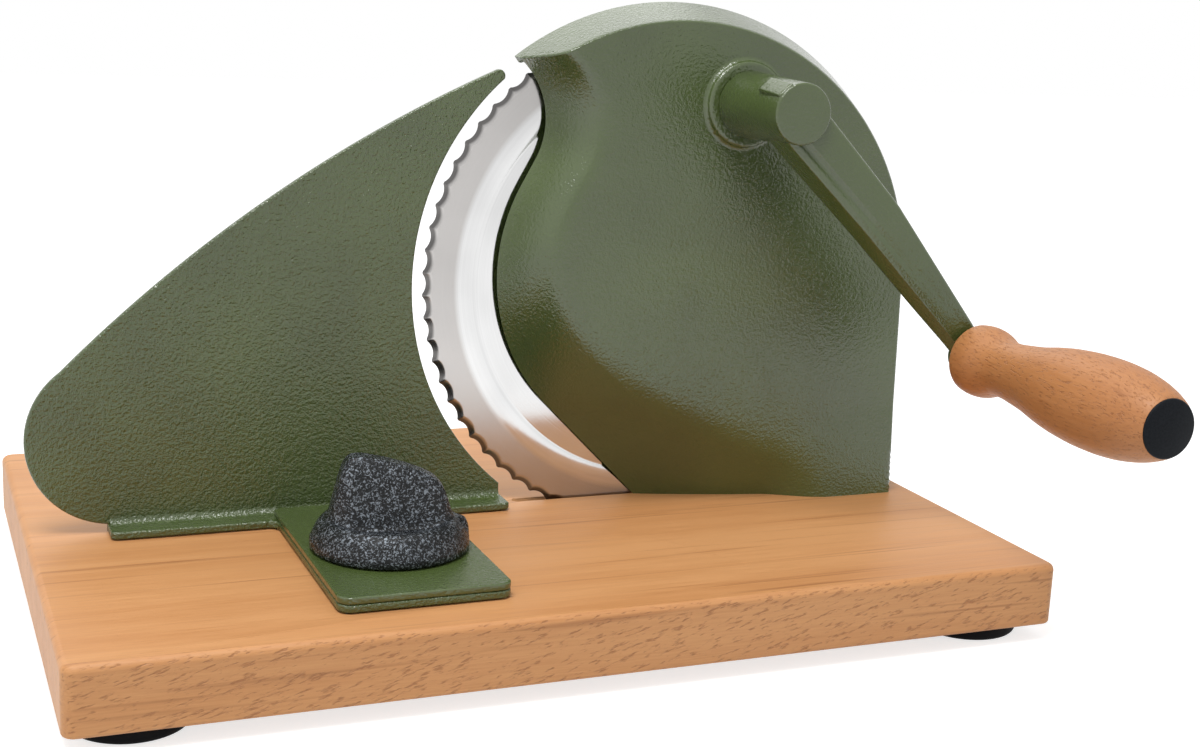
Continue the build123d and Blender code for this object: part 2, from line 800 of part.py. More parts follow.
shaft_front = hub_front + hub_end_wall
shaft_back = pinion_back - pinion_screw_head
key_middle_y = (gear_front + shaft_back) / 2
pinion_turn = crank_bearing_angle + 180 + 180 / pinion_teeth
key_bottom = shaft_r - key_side / 2
with BuildPart() as crank_shaft:
    with BuildSketch(facing(shaft_back, crank_x, crank_z)):
        Circle(shaft_r)
    extrude(amount=shaft_back - shaft_front)
    with BuildSketch(facing(shaft_back, crank_x, crank_z)):
        Circle(pinion_screw_r + screw_fit)
    extrude(amount=pinion_screw_length, mode=Mode.SUBTRACT)
    with BuildSketch(facing(shaft_back, crank_x, crank_z)):
        with Locations((0, key_bottom + key_side / 2)):
            Rectangle(key_side + 2 * press_fit, key_side)
    extrude(amount=shaft_back - gear_front, mode=Mode.SUBTRACT)
save(crank_shaft.part, "crank_shaft")

with BuildPart() as pinion:
    add(
        gear_disc(
            facing(pinion_back, crank_x, crank_z),
            gear_module,
            pinion_teeth,
            pinion_turn,
            shaft_r + press_fit,
            pinion_face,
        )
    )
    with BuildSketch(facing(pinion_back, crank_x, crank_z)):
        with Locations((0, key_bottom + key_side / 2)):
            Rectangle(key_side + 2 * press_fit, key_side + 2 * press_fit)
    extrude(amount=pinion_face, mode=Mode.SUBTRACT)
save(pinion.part, "crank_pinion")

with BuildPart() as pinion_key:
    with BuildSketch(facing(shaft_back, crank_x, crank_z)):
        with Locations((0, key_bottom + key_side / 2)):
            Rectangle(key_side, key_side)
    extrude(amount=shaft_back - gear_front)
save(pinion_key.part, "pinion_key")

with BuildPart() as pinion_screw:
    with BuildSketch(facing(shaft_back, crank_x, crank_z)):
        Circle(pinion_screw_r)
    extrude(amount=pinion_screw_length - 1.0)
    with BuildSketch(facing(pinion_back, crank_x, crank_z)):
        Circle(pinion_screw_head_r)
    extrude(amount=pinion_screw_head)
save(pinion_screw.part, "pinion_screw")

# ================================================================ handle
with BuildPart() as handle_bolt:
    with BuildSketch(facing(arm_end_front_y + arm_end_thick, handle_x, handle_z)):
        Circle(bolt_thread_r)
    extrude(amount=arm_end_thick)
    with BuildSketch(facing(arm_end_front_y, handle_x, handle_z)):
        Circle(bolt_r)
    extrude(amount=arm_end_front_y - sink_floor + face_gap)
    with BuildSketch(facing(sink_floor - face_gap, handle_x, handle_z)):
        Circle(bolt_head_r)
    extrude(amount=bolt_head)
save(handle_bolt.part, "handle_bolt")

handle_washer = tube(
    facing(arm_end_front_y, handle_x, handle_z), bolt_r + screw_fit, washer_r, washer_thick
)
save(handle_washer, "handle_washer")

sleeve_r = bolt_r + run_fit + sleeve_wall
handle_sleeve = tube(
    facing(grip_back, handle_x, handle_z), bolt_r + run_fit, sleeve_r, grip_back - sink_floor
)
save(handle_sleeve, "handle_sleeve")

with BuildPart() as grip:
    with BuildSketch(Plane(origin=(handle_x, grip_back, handle_z))):
        with BuildLine():
            turned = Spline(
                (grip_end_r, 0),
                (grip_collar_r, -grip_collar_at),
                (grip_neck_r, -grip_neck_at),
                ((grip_neck_r + grip_belly_r) / 2, -(grip_neck_at + grip_belly_at) / 2),
                (grip_belly_r, -grip_belly_at),
                (grip_shoulder_r, -grip_shoulder_at),
                (grip_nose_r, -grip_length),
            )
            Polyline(
                turned @ 1,
                (grip_sink_r, -grip_length),
                (grip_sink_r, grip_sink - grip_length),
                (sleeve_r + press_fit, grip_sink - grip_length),
                (sleeve_r + press_fit, 0),
                turned @ 0,
            )
        make_face()
    revolve(axis=lengthwise(handle_x, handle_z))
save(grip.part, "handle_grip")

with BuildPart() as cap:
    with BuildSketch(Plane(origin=(handle_x, grip_front, handle_z))):
        with BuildLine():
            cap_edge = (cap_r, cap_dome - cap_height)
            dome_r = (cap_r**2 + cap_dome**2) / (2 * cap_dome)
            halfway = dome_r - sqrt(dome_r**2 - cap_r**2 / 4)
            ThreePointArc(cap_edge, (cap_r / 2, halfway - cap_height), (0, -cap_height))
            Polyline(
                (0, -cap_height),
                (0, cap_plug),
                (grip_sink_r - press_fit, cap_plug),
                (grip_sink_r - press_fit, 0),
                (cap_r, 0),
                cap_edge,
            )
        make_face()
    revolve(axis=lengthwise(handle_x, handle_z))
save(cap.part, "handle_cap")

# ================================================================ stop plate
stop_left = left + stop_left_inset
tip_turn = radians(stop_tip_angle)
tip = (blade_x + stop_edge_r * cos(tip_turn), blade_z + stop_edge_r * sin(tip_turn))
foot_drop = blade_axis_height - stop_foot_height
stop_right = blade_x - sqrt(stop_edge_r**2 - foot_drop**2)
foot_left = left + stop_foot_left
flange_front = stop_face - flange_width + sheet
tongue_left = knob_x - tongue_width / 2
tongue_right = knob_x + tongue_width / 2
shoe_screw_spots = [
    (x, y) for x in rail_xs for y in (knob_y - shoe_screw_offset, knob_y + shoe_screw_offset)
]
spindle_bush_r = spindle_r + run_fit + spindle_bush_wall

with BuildPart() as stop_plate:
    with BuildSketch(facing(stop_back)):
        with BuildLine():
            crown = (tip[0] - 0.85 * stop_tip_round, tip[1] + stop_tip_round)
            shoulder = (left + stop_shoulder_x, board_top + stop_shoulder_height)
            crest = (left + stop_crest_x, board_top + stop_crest_height)
            ThreePointArc(tip, (tip[0] - 0.1 * stop_tip_round, tip[1] + 0.8 * stop_tip_round), crown)
            ThreePointArc(crown, crest, shoulder)
            ThreePointArc(
                shoulder, (stop_left, board_top + stop_corner_height), (foot_left, flange_top)
            )
            Polyline(
                (foot_left, flange_top),
                (foot_left, flange_bottom),
                (stop_right, flange_bottom),
                (stop_right, board_top + stop_foot_height),
            )
            ThreePointArc(
                (stop_right, board_top + stop_foot_height),
                (blade_x - stop_edge_r, blade_z),
                tip,
            )
        make_face()
    extrude(amount=sheet)
    with BuildSketch(level(flange_bottom)):
        with BuildLine():
            FilletPolyline(
                (foot_left, stop_face + sheet / 2),
                (foot_left, flange_front),
                (tongue_left, flange_front),
                (tongue_left, tongue_front_y),
                (tongue_right, tongue_front_y),
                (tongue_right, flange_front),
                (stop_right + flange_right_extra, flange_front),
                (stop_right + flange_right_extra, stop_face + sheet / 2),
                radius=flange_corner_r,
            )
            Line(
                (stop_right + flange_right_extra, stop_face + sheet / 2),
                (foot_left, stop_face + sheet / 2),
            )
        make_face()
    extrude(amount=sheet)
    with BuildSketch(Plane(origin=(foot_left, 0, 0), x_dir=(0, 1, 0), z_dir=(1, 0, 0))):
        with BuildLine():
            Polyline(
                (stop_face - bend_r, flange_top),
                (stop_face - bend_r, flange_bottom + sheet / 2),
                (stop_face + sheet / 2, flange_bottom + sheet / 2),
                (stop_face + sheet / 2, flange_top + bend_r),
                (stop_face, flange_top + bend_r),
            )
            RadiusArc((stop_face, flange_top + bend_r), (stop_face - bend_r, flange_top), bend_r)
        make_face()
    extrude(amount=stop_right - foot_left)
    with BuildSketch(level(flange_bottom, knob_x, knob_y)):
        Circle(spindle_bush_r + press_fit)
    extrude(amount=sheet, mode=Mode.SUBTRACT)
    with BuildSketch(level(flange_bottom)):
        with Locations(*shoe_screw_spots):
            Circle(shoe_screw_r + screw_fit)
    extrude(amount=sheet, mode=Mode.SUBTRACT)
save(stop_plate.part, "stop_plate")

with BuildPart() as knob_plate:
    plate_back = stop_face - bend_r - face_gap
    with BuildSketch(level(flange_top, knob_x, (tongue_front_y + plate_back) / 2)):
        RectangleRounded(tongue_width, plate_back - tongue_front_y, flange_corner_r)
    extrude(amount=knob_plate_thick)
    with BuildSketch(level(flange_top, knob_x, knob_y)):
        Circle(spindle_bush_r + press_fit)
    extrude(amount=knob_plate_thick, mode=Mode.SUBTRACT)
    with BuildSketch(level(flange_top)):
        with Locations(*shoe_screw_spots):
            Circle(shoe_screw_r + screw_fit)
    extrude(amount=knob_plate_thick, mode=Mode.SUBTRACT)
    with BuildSketch(level(knob_plate_top)):
        with Locations(*shoe_screw_spots):
            Circle(shoe_screw_head_r + screw_fit)
    extrude(amount=-shoe_screw_head, mode=Mode.SUBTRACT)
save(knob_plate.part, "knob_plate")

spindle_bush = tube(
    level(flange_bottom, knob_x, knob_y),
    spindle_r + run_fit,
    spindle_bush_r,
    sheet + knob_plate_thick,
)
save(spindle_bush, "spindle_bush")

with BuildPart() as rails:
    with BuildSketch(Plane(origin=(0, rail_front_y, 0), x_dir=(1, 0, 0), z_dir=(0, -1, 0))):
        for rail_x in rail_xs:
            with Locations((rail_x, board_top - rail_depth / 2)):
                Rectangle(rail_width, rail_depth)
                Rectangle(
                    rail_width - 2 * rail_wall, rail_depth - 2 * rail_wall, mode=Mode.SUBTRACT
                )
            with Locations((rail_x, board_top - rail_wall / 2)):
                Rectangle(rail_mouth, rail_wall, mode=Mode.SUBTRACT)
    extrude(amount=-rail_length)
    with BuildSketch(level(rail_bottom)):
        with Locations(*[(x, y) for x in rail_xs for y in rail_screw_ys]):
            Circle(rail_screw_r + screw_fit)
    extrude(amount=rail_wall, mode=Mode.SUBTRACT)
save(rails.part, "guide_rails")

with BuildPart() as rail_screws:
    with BuildSketch(level(rail_bottom + rail_wall)):
        with Locations(*[(x, y) for x in rail_xs for y in rail_screw_ys]):
            Circle(rail_screw_head_r)
    extrude(amount=rail_screw_head)
    with BuildSketch(level(rail_bottom + rail_wall)):
        with Locations(*[(x, y) for x in rail_xs for y in rail_screw_ys]):
            Circle(rail_screw_r)
    extrude(amount=-(rail_wall + rail_screw_bite - 1.0))
save(rail_screws.part, "rail_screws")

with BuildPart() as shoes:
    lip_bottom = board_top - rail_wall
    shoe_top = lip_bottom - face_gap
    shoe_bottom = rail_bottom + rail_wall + face_gap
    with BuildSketch(Plane(origin=(0, knob_y - shoe_length / 2, 0), x_dir=(1, 0, 0), z_dir=(0, -1, 0))):
        for rail_x in rail_xs:
            with Locations((rail_x, (shoe_top + shoe_bottom) / 2)):
                Rectangle(rail_width - 2 * rail_wall - 2 * face_gap, shoe_top - shoe_bottom)
            with Locations((rail_x, (shoe_bottom + flange_bottom) / 2)):
                Rectangle(rail_mouth - 2 * face_gap, flange_bottom - shoe_bottom)
    extrude(amount=-shoe_length)
    with BuildSketch(level(flange_bottom)):
        with Locations(*shoe_screw_spots):
            Circle(shoe_screw_r + screw_fit)
    extrude(amount=-shoe_screw_bite, mode=Mode.SUBTRACT)
save(shoes.part, "slide_shoes")

with BuildPart() as shoe_screws:
    with BuildSketch(level(knob_plate_top)):
        with Locations(*shoe_screw_spots):
            Circle(shoe_screw_head_r)
    extrude(amount=-shoe_screw_head)
    with BuildSketch(level(knob_plate_top)):
        with Locations(*shoe_screw_spots):
            Circle(shoe_screw_r)
    extrude(amount=flange_bottom - knob_plate_top - shoe_screw_bite + 0.5)
save(shoe_screws.part, "shoe_screws")

# ================================================================ rack and knob
rack_pitch_x = knob_x - knob_pinion_r
rack_top = board_top - face_gap / 3
tooth_pitch = pi * knob_pinion_module
rack_depth = knob_pinion_module
half_tip = tooth_pitch / 4 - tooth_slack / 2 - 0.95 * rack_depth * tan(radians(pressure_angle))
half_root = tooth_pitch / 4 - tooth_slack / 2 + 1.25 * rack_depth * tan(radians(pressure_angle))
with BuildPart() as rack:
    with BuildSketch(level(board_top - pocket_depth)):
        with Locations((rack_x, rack_middle_y)):
            Rectangle(rack_back, rack_length)
        teeth_each_way = int((rack_length / 2 - tooth_pitch) / tooth_pitch)
        first = ceil((rack_middle_y - knob_y) / tooth_pitch) - teeth_each_way
        for tooth in range(2 * teeth_each_way):
            middle = knob_y + (first + tooth + 0.5) * tooth_pitch
            Polygon(
                (rack_pitch_x - 1.3 * rack_depth, middle - half_root),
                (rack_pitch_x + 0.95 * rack_depth, middle - half_tip),
                (rack_pitch_x + 0.95 * rack_depth, middle + half_tip),
                (rack_pitch_x - 1.3 * rack_depth, middle + half_root),
                align=None,
            )
    extrude(amount=rack_top - board_top + pocket_depth)
    with BuildSketch(level(board_top - pocket_depth)):
        with Locations(*[(rack_x, y) for y in rack_screw_ys]):
            Circle(rack_screw_r + screw_fit)
    extrude(amount=pocket_depth, mode=Mode.SUBTRACT)
    with BuildSketch(level(rack_top)):
        with Locations(*[(rack_x, y) for y in rack_screw_ys]):
            Circle(rack_screw_head_r + screw_fit)
    extrude(amount=-rack_screw_head, mode=Mode.SUBTRACT)
save(rack.part, "gear_rack")

with BuildPart() as rack_screws:
    with BuildSketch(level(rack_top)):
        with Locations(*[(rack_x, y) for y in rack_screw_ys]):
            Circle(rack_screw_head_r)
    extrude(amount=-rack_screw_head)
    with BuildSketch(level(rack_top)):
        with Locations(*[(rack_x, y) for y in rack_screw_ys]):
            Circle(rack_screw_r)
    extrude(amount=board_top - rack_top - pocket_depth - rack_screw_bite + 1.0)
save(rack_screws.part, "rack_screws")

knob_pinion = gear_disc(
    level(knob_pinion_bottom, knob_x, knob_y),
    knob_pinion_module,
    knob_pinion_teeth,
    180,
    spindle_end_r + press_fit,
    knob_pinion_face,
)
save(knob_pinion, "knob_pinion")

with BuildPart() as spindle:
    with BuildSketch(level(knob_pinion_top, knob_x, knob_y)):
        Circle(spindle_r)
    extrude(amount=knob_base + spindle_grip - knob_pinion_top)
    with BuildSketch(level(knob_pinion_top, knob_x, knob_y)):
        Circle(spindle_end_r)
    extrude(amount=-(knob_pinion_face + 2 * clip_thick))
save(spindle.part, "knob_spindle")

spindle_clip = tube(
    level(knob_pinion_bottom - clip_thick, knob_x, knob_y),
    spindle_end_r + press_fit,
    clip_r,
    clip_thick,
)
save(spindle_clip, "spindle_clip")

knob_washer_ring = tube(
    level(knob_base - knob_washer, knob_x, knob_y),
    spindle_r + screw_fit,
    knob_washer_r,
    knob_washer,
)
save(knob_washer_ring, "knob_washer")

with BuildPart() as fin:
    with BuildSketch(facing(knob_y, knob_x, knob_base)):
        with BuildLine():
            ridge = Spline(
                (-0.5 * fin_length, knob_dome / 2),
                (-0.44 * fin_length, knob_height - fin_drop),
                (-0.28 * fin_length, knob_height),
                (0.16 * fin_length, knob_height - 0.45 * fin_drop),
                (0.41 * fin_length, knob_height - 1.3 * fin_drop),
                (0.5 * fin_length, knob_dome / 2),
            )
            Line(ridge @ 1, ridge @ 0)
        make_face()
    extrude(amount=fin_thick, both=True)
    with BuildSketch(Plane(origin=(knob_x, knob_y, knob_base), x_dir=(0, 1, 0), z_dir=(1, 0, 0))):
        Polygon(
            (-fin_thick / 2, 0),
            (fin_thick / 2, 0),
            (fin_thick / 2 - fin_slant, knob_height + 1),
            (fin_slant - fin_thick / 2, knob_height + 1),
            align=None,
        )
    extrude(amount=fin_length, both=True, mode=Mode.INTERSECT)

with BuildPart() as knob:
    with BuildSketch(facing(knob_y, knob_x, knob_base)):
        with BuildLine():
            shoulder_r = (knob_r + knob_dome_r) / 2
            Polyline((knob_dome_r, knob_dome), (0, knob_dome), (0, 0), (knob_r, 0), (knob_r, knob_skirt))
            ThreePointArc(
                (knob_r, knob_skirt),
                (shoulder_r + knob_bulge, (knob_skirt + knob_dome) / 2 + knob_bulge),
                (knob_dome_r, knob_dome),
            )
        make_face()
    revolve(axis=Axis((knob_x, knob_y, 0), (0, 0, 1)))
    add(fin.part)
    with BuildSketch(level(knob_base + knob_skirt, knob_x, knob_y)):
        with Locations((knob_r - nub_r, 0)):
            Circle(nub_r)
    extrude(amount=nub_height - knob_skirt)
    with BuildSketch(level(knob_base, knob_x, knob_y)):
        Circle(spindle_r + press_fit)
    extrude(amount=spindle_grip, mode=Mode.SUBTRACT)
save(knob.part, "knob")
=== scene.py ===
from math import radians

import bmesh
import bpy
import numpy as np
from mathutils import Matrix, Vector


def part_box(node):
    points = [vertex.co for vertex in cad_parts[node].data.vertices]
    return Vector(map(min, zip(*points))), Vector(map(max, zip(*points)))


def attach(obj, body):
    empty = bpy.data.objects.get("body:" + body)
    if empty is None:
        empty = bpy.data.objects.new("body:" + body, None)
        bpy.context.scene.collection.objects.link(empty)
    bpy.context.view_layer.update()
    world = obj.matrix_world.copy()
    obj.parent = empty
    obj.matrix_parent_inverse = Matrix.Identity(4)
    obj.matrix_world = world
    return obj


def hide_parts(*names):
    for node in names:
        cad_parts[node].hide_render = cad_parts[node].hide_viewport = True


bl_info = {
    "name": "Hand cranked bread slicer",
    "version": (1, 0, 0),
    "blender": (4, 5, 0),
    "location": "3D View > Sidebar > Slicer",
    "description": "Builds the visible pieces and finishes of a hand cranked bread slicer",
    "category": "Object",
}

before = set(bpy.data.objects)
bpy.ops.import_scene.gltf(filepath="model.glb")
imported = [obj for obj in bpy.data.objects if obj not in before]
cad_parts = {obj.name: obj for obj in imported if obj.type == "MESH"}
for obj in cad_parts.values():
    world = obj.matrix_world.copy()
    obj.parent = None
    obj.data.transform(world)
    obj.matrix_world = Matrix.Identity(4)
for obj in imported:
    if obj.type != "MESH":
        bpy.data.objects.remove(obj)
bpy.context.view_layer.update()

# ---------------------------------------------------------------- places, from the solids
# Shapes are worked out in millimetres from the board's front left top corner: X to the right, Y to
# the back, Z up. The corner's own place comes from the board's solid.
BOARD_LOW, BOARD_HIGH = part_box("board")
CORNER = np.array([BOARD_LOW.x, BOARD_LOW.y, BOARD_HIGH.z])


def span(node):
    """Lowest and highest corner of a solid, in millimetres from the board's corner."""
    low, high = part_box(node)
    return (np.array(low) - CORNER) * 1000, (np.array(high) - CORNER) * 1000


def middle(node):
    """Middle of a solid's box, in millimetres from the board's corner."""
    low, high = span(node)
    return (low + high) / 2


BLADE_LOW, BLADE_HIGH = span("blade")
BLADE_X, _, BLADE_Z = middle("blade")
CRANK_X, _, CRANK_Z = middle("crank_shaft")
HANDLE_X, _, HANDLE_Z = middle("handle_sleeve")
KNOB_X, KNOB_Y, _ = middle("knob_spindle")
KNOB_FOOT = span("knob")[0][2]
BLADE_FRONT = BLADE_LOW[1]  # front face of the cutting ring
BLADE_THICK = 1.2
DISH = BLADE_HIGH[1] - BLADE_LOW[1] - BLADE_THICK  # middle of the blade behind its ring
SIDE_PLAY = 0.3  # room at each end of a turning piece
BOSS_END = span("blade_gear")[0][1] - SIDE_PLAY
GRIP_END = span("handle_grip")[0][1]
CAP_NOSE = span("handle_cap")[0][1]
TONGUE_FRONT = span("stop_plate")[0][1]
PLATE_LOW, PLATE_HIGH = span("knob_plate")
SHAFT_DEPTH = 5.5  # bottom of the hub's bore behind its front face
HUB_FRONT = span("crank_shaft")[0][1] - SHAFT_DEPTH
HUB_BACK = span("crank_bush")[0][1] - SIDE_PLAY


FINISHES = {}


# ================================================================ mesh helpers
def in_frame(points):
    """Millimetres from the board's corner to the frame's metres."""
    return np.asarray(points, float).reshape(-1, 3) * 0.001 + CORNER


def grid_faces(rows, columns, ring=False, loop=False):
    """Quads of a grid of points; ring joins its last row to the first, loop its last column."""
    index = np.arange(rows * columns).reshape(rows, columns)
    if ring:
        index = np.concatenate((index, index[:1]), 0)
    if loop:
        index = np.concatenate((index, index[:, :1]), 1)
    corners = (index[:-1, :-1], index[1:, :-1], index[1:, 1:], index[:-1, 1:])
    return np.stack(corners, -1).reshape(-1, 4).tolist()


def capped(rings):
    """Points and faces of a stack of closed rings, with one polygon over each end."""
    rows, count = rings.shape[:2]
    faces = grid_faces(rows, count, loop=True)
    faces.append(list(range(count)))
    faces.append(list(range((rows - 1) * count, rows * count)))
    return rings.reshape(-1, 3), faces


def piece(name, body, surfaces, finish, stands_for=(), sharp=38, even=False):
    """One object from closed surfaces, each its points in millimetres and its faces.

    Points that meet are merged, so seams and poles close, and the faces are turned outwards.
    """
    points = []
    faces = []
    for surface_points, surface_faces in surfaces:
        offset = sum(len(p) for p in points)
        points.append(in_frame(surface_points))
        faces.extend([[corner + offset for corner in face] for face in surface_faces])
    mesh = bpy.data.meshes.new(name)
    mesh.from_pydata(np.concatenate(points).tolist(), [], faces)
    merge(mesh, 2e-7, True)
    return dress(mesh, name, body, finish, stands_for, sharp, even)


def merge(mesh, distance, mend=False):
    """Merges points that meet; mend also drops faces without area and turns the rest outwards."""
    shape = bmesh.new()
    shape.from_mesh(mesh)
    bmesh.ops.remove_doubles(shape, verts=shape.verts, dist=distance)
    if mend:
        bmesh.ops.dissolve_degenerate(shape, edges=shape.edges, dist=1e-8)
        bmesh.ops.recalc_face_normals(shape, faces=shape.faces)
    shape.to_mesh(mesh)
    shape.free()


def dress(mesh, name, body, finish, stands_for, sharp, even):
    """Shades a mesh, gives it its finish and lets it ride on its body."""
    mesh.polygons.foreach_set("use_smooth", np.ones(len(mesh.polygons), bool))
    mesh.set_sharp_from_angle(angle=radians(sharp))
    mesh.materials.append(FINISHES[finish])
    made = bpy.data.objects.new(name, mesh)
    bpy.context.scene.collection.objects.link(made)
    if even:
        modifier = made.modifiers.new("even shading", "WEIGHTED_NORMAL")
        modifier.keep_sharp = True
        modifier.weight = 80
    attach(made, body)
    if stands_for:
        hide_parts(*stands_for)
    return made


def copy_of(node, body, finish, sharp=24):
    """A merged, smoothly shaded copy of a solid that stands for it."""
    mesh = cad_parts[node].data.copy()
    mesh.name = node + "_smooth"
    mesh.materials.clear()
    merge(mesh, 1e-6)
    return dress(mesh, node + "_smooth", body, finish, (node,), sharp, True)


def turned(profile, centre, steps=96):
    """Surface of revolution about an axis along Y.

    The profile is rows of radius and Y; each row becomes a circle of that radius in the plane Y,
    round the centre's X and Z.
    """
    profile = np.asarray(profile, float)
    turn = np.arange(steps) * 2 * np.pi / steps
    radius, along = profile[:, :1], profile[:, 1:]
    x = centre[0] + radius * np.cos(turn)
    z = centre[1] + radius * np.sin(turn)
    y = along + np.zeros_like(turn)
    return np.stack((x, y, z), -1), grid_faces(len(profile), steps, loop=True)


def upright_turned(profile, centre, steps=96):
    """The same about an axis along Z: the profile is rows of radius and Z."""
    points, faces = turned(profile, centre, steps)
    return points[..., [0, 2, 1]], faces


def rounded(corners, radii, steps=6):
    """Closed outline with each corner replaced by an arc.

    The arc touches both sides at radius / tan(half the corner's angle) from the corner, and is
    sampled by turning the first touching radius into the second one.
    """
    corners = np.asarray(corners, float)
    radii = np.asarray(radii, float)[:, None]
    before = np.roll(corners, 1, 0) - corners
    after = np.roll(corners, -1, 0) - corners
    before /= np.linalg.norm(before, axis=1, keepdims=True)
    after /= np.linalg.norm(after, axis=1, keepdims=True)
    half = np.arccos(np.clip((before * after).sum(1, keepdims=True), -1, 1)) / 2
    bisector = before + after
    bisector /= np.linalg.norm(bisector, axis=1, keepdims=True)
    centre = corners + bisector * radii / np.sin(half)
    start = corners + before * radii / np.tan(half) - centre
    end = corners + after * radii / np.tan(half) - centre
    share = np.linspace(0, 1, steps)[None, :, None]
    sweep = (np.pi - 2 * half)[:, None]
    blend = np.sin((1 - share) * sweep) * start[:, None] + np.sin(share * sweep) * end[:, None]
    return (centre[:, None] + blend / np.sin(sweep)).reshape(-1, 2)


def arc(centre, radius, first, last, count):
    """Points on an arc from one angle in degrees to another."""
    turn = np.radians(np.linspace(first, last, count))
    return np.stack((centre[0] + radius * np.cos(turn), centre[1] + radius * np.sin(turn)), -1)


def quarter(steps):
    """Sine and cosine over a quarter turn."""
    turn = np.linspace(0, np.pi / 2, steps)
    return np.sin(turn), np.cos(turn)


def through(first, middle_point, last, count):
    """Points on the arc through three points."""
    a, b, c = (np.asarray(p, float) for p in (first, middle_point, last))
    rows = 2 * np.stack((b - a, c - a))
    centre = np.linalg.solve(rows, np.array([b @ b - a @ a, c @ c - a @ a]))
    angles = [np.arctan2(*(p - centre)[::-1]) for p in (a, b, c)]
    sweep = (angles[2] - angles[0]) % (2 * np.pi)
    if (angles[1] - angles[0]) % (2 * np.pi) > sweep:
        sweep -= 2 * np.pi
    radius = np.linalg.norm(a - centre)
    return arc(centre, radius, *np.degrees((angles[0], angles[0] + sweep)), count)


def evenly(points, step):
    """A closed outline resampled about every step along its length, corners kept."""
    points = np.asarray(points, float)
    following = np.roll(points, -1, 0)
    counts = np.maximum(np.linalg.norm(following - points, axis=1) / step, 1).astype(int)
    share = np.concatenate([np.arange(n) / n for n in counts])[:, None]
    start = np.repeat(points, counts, 0)
    end = np.repeat(following, counts, 0)
    return start + (end - start) * share


def plate(outline, low, high, edge_r, place, steps=5):
    """Flat plate from a closed outline, with rounded edges.

    Each ring of points is the outline moved inwards by edge_r * (1 - sin a) at a depth of
    edge_r * (1 - cos a) from a face, for a from 0 to a quarter turn. The two faces are one
    polygon each. place turns outline and height into board millimetres.
    """
    ahead = np.roll(outline, -1, 0) - outline
    behind = outline - np.roll(outline, 1, 0)
    ahead /= np.linalg.norm(ahead, axis=1, keepdims=True)
    behind /= np.linalg.norm(behind, axis=1, keepdims=True)
    along = ahead + behind
    along /= np.linalg.norm(along, axis=1, keepdims=True)
    following = np.roll(outline, -1, 0)
    area = np.sum(outline[:, 0] * following[:, 1] - following[:, 0] * outline[:, 1])
    inwards = np.stack((-along[:, 1], along[:, 0]), -1) * np.sign(area)
    sine, cosine = quarter(steps)
    inset = edge_r * (1 - sine)
    depth = edge_r * (1 - cosine)
    inset = np.concatenate((inset, inset[::-1]))
    height = np.concatenate((high - depth, low + depth[::-1]))
    rings = outline[None] + inwards[None] * inset[:, None, None]
    levels = np.broadcast_to(height[:, None], rings.shape[:2])
    return capped(place(rings[..., 0], rings[..., 1], levels))


def lying(x, y, z):
    """Outline in plan, height up."""
    return np.stack((x, y, z), -1)


def standing(x, z, y):
    """Outline seen from the front, thickness along Y."""
    return np.stack((x, y, z), -1)


def smooth_step(value):
    """0 below 0, 1 above 1, and an even rise between."""
    value = np.clip(value, 0, 1)
    return value * value * (3 - 2 * value)


def smooth_max(first, second, reach):
    """The higher of two heights, with the crease between them rounded over a reach."""
    nearness = np.maximum(reach - np.abs(first - second), 0) / reach
    return np.maximum(first, second) + nearness * nearness * reach / 4


# ================================================================ materials
def plug(tree, made, sockets):
    """Links a node's inputs to sockets and sets the others to values."""
    for name, value in sockets.items():
        if isinstance(value, bpy.types.NodeSocket):
            tree.links.new(value, made.inputs[name])
        else:
            made.inputs[name].default_value = value


def node(tree, kind, sockets=None, **settings):
    """Adds a node with its settings and its inputs."""
    made = tree.nodes.new(kind)
    for name, value in settings.items():
        setattr(made, name, value)
    plug(tree, made, sockets or {})
    return made


def finish(name, **sockets):
    """A new material; returns it, its node tree and its shader."""
    material = bpy.data.materials.new(name)
    material.use_nodes = True
    shader = material.node_tree.nodes["Principled BSDF"]
    plug(material.node_tree, shader, {key.replace("_", " "): value for key, value in sockets.items()})
    return material, material.node_tree, shader


def place_of(tree, scale=(1, 1, 1), turn=(0, 0, 0), shift=(0, 0, 0)):
    """Object coordinates, shifted and turned first and stretched after that."""
    place = node(tree, "ShaderNodeTexCoord").outputs["Object"]
    moved = node(tree, "ShaderNodeMapping", {"Vector": place, "Rotation": turn, "Location": shift})
    sockets = {"Vector": moved.outputs["Vector"], "Scale": scale}
    return node(tree, "ShaderNodeMapping", sockets).outputs["Vector"]


def noise(tree, vector, scale, detail=2.0, roughness=0.5, distortion=0.0):
    """Value of a noise texture."""
    sockets = {"Vector": vector, "Scale": scale, "Detail": detail}
    sockets.update({"Roughness": roughness, "Distortion": distortion})
    return node(tree, "ShaderNodeTexNoise", sockets).outputs["Fac"]


def ramp(tree, value, low, low_colour, high, high_colour):
    """Colours by value, from one place and colour to another."""
    made = node(tree, "ShaderNodeValToRGB", {"Fac": value})
    stops = ((low, low_colour), (high, high_colour))
    for element, (place, colour) in zip(made.color_ramp.elements, stops):
        element.position = place
        element.color = (*colour, 1)
    return made.outputs["Color"]


def remap(tree, value, low, high, to_low=0.0, to_high=1.0):
    """Value moved from one range to another, clamped."""
    sockets = {"Value": value, "From Min": low, "From Max": high, "To Min": to_low, "To Max": to_high}
    return node(tree, "ShaderNodeMapRange", sockets).outputs["Result"]


def math(tree, operation, first, second=0.0):
    """One sum of two values."""
    return node(tree, "ShaderNodeMath", {0: first, 1: second}, operation=operation).outputs[0]


def mixed(tree, first, first_share, second, second_share):
    """Two values, each times its share, added."""
    first = math(tree, "MULTIPLY", first, first_share)
    return math(tree, "ADD", first, math(tree, "MULTIPLY", second, second_share))


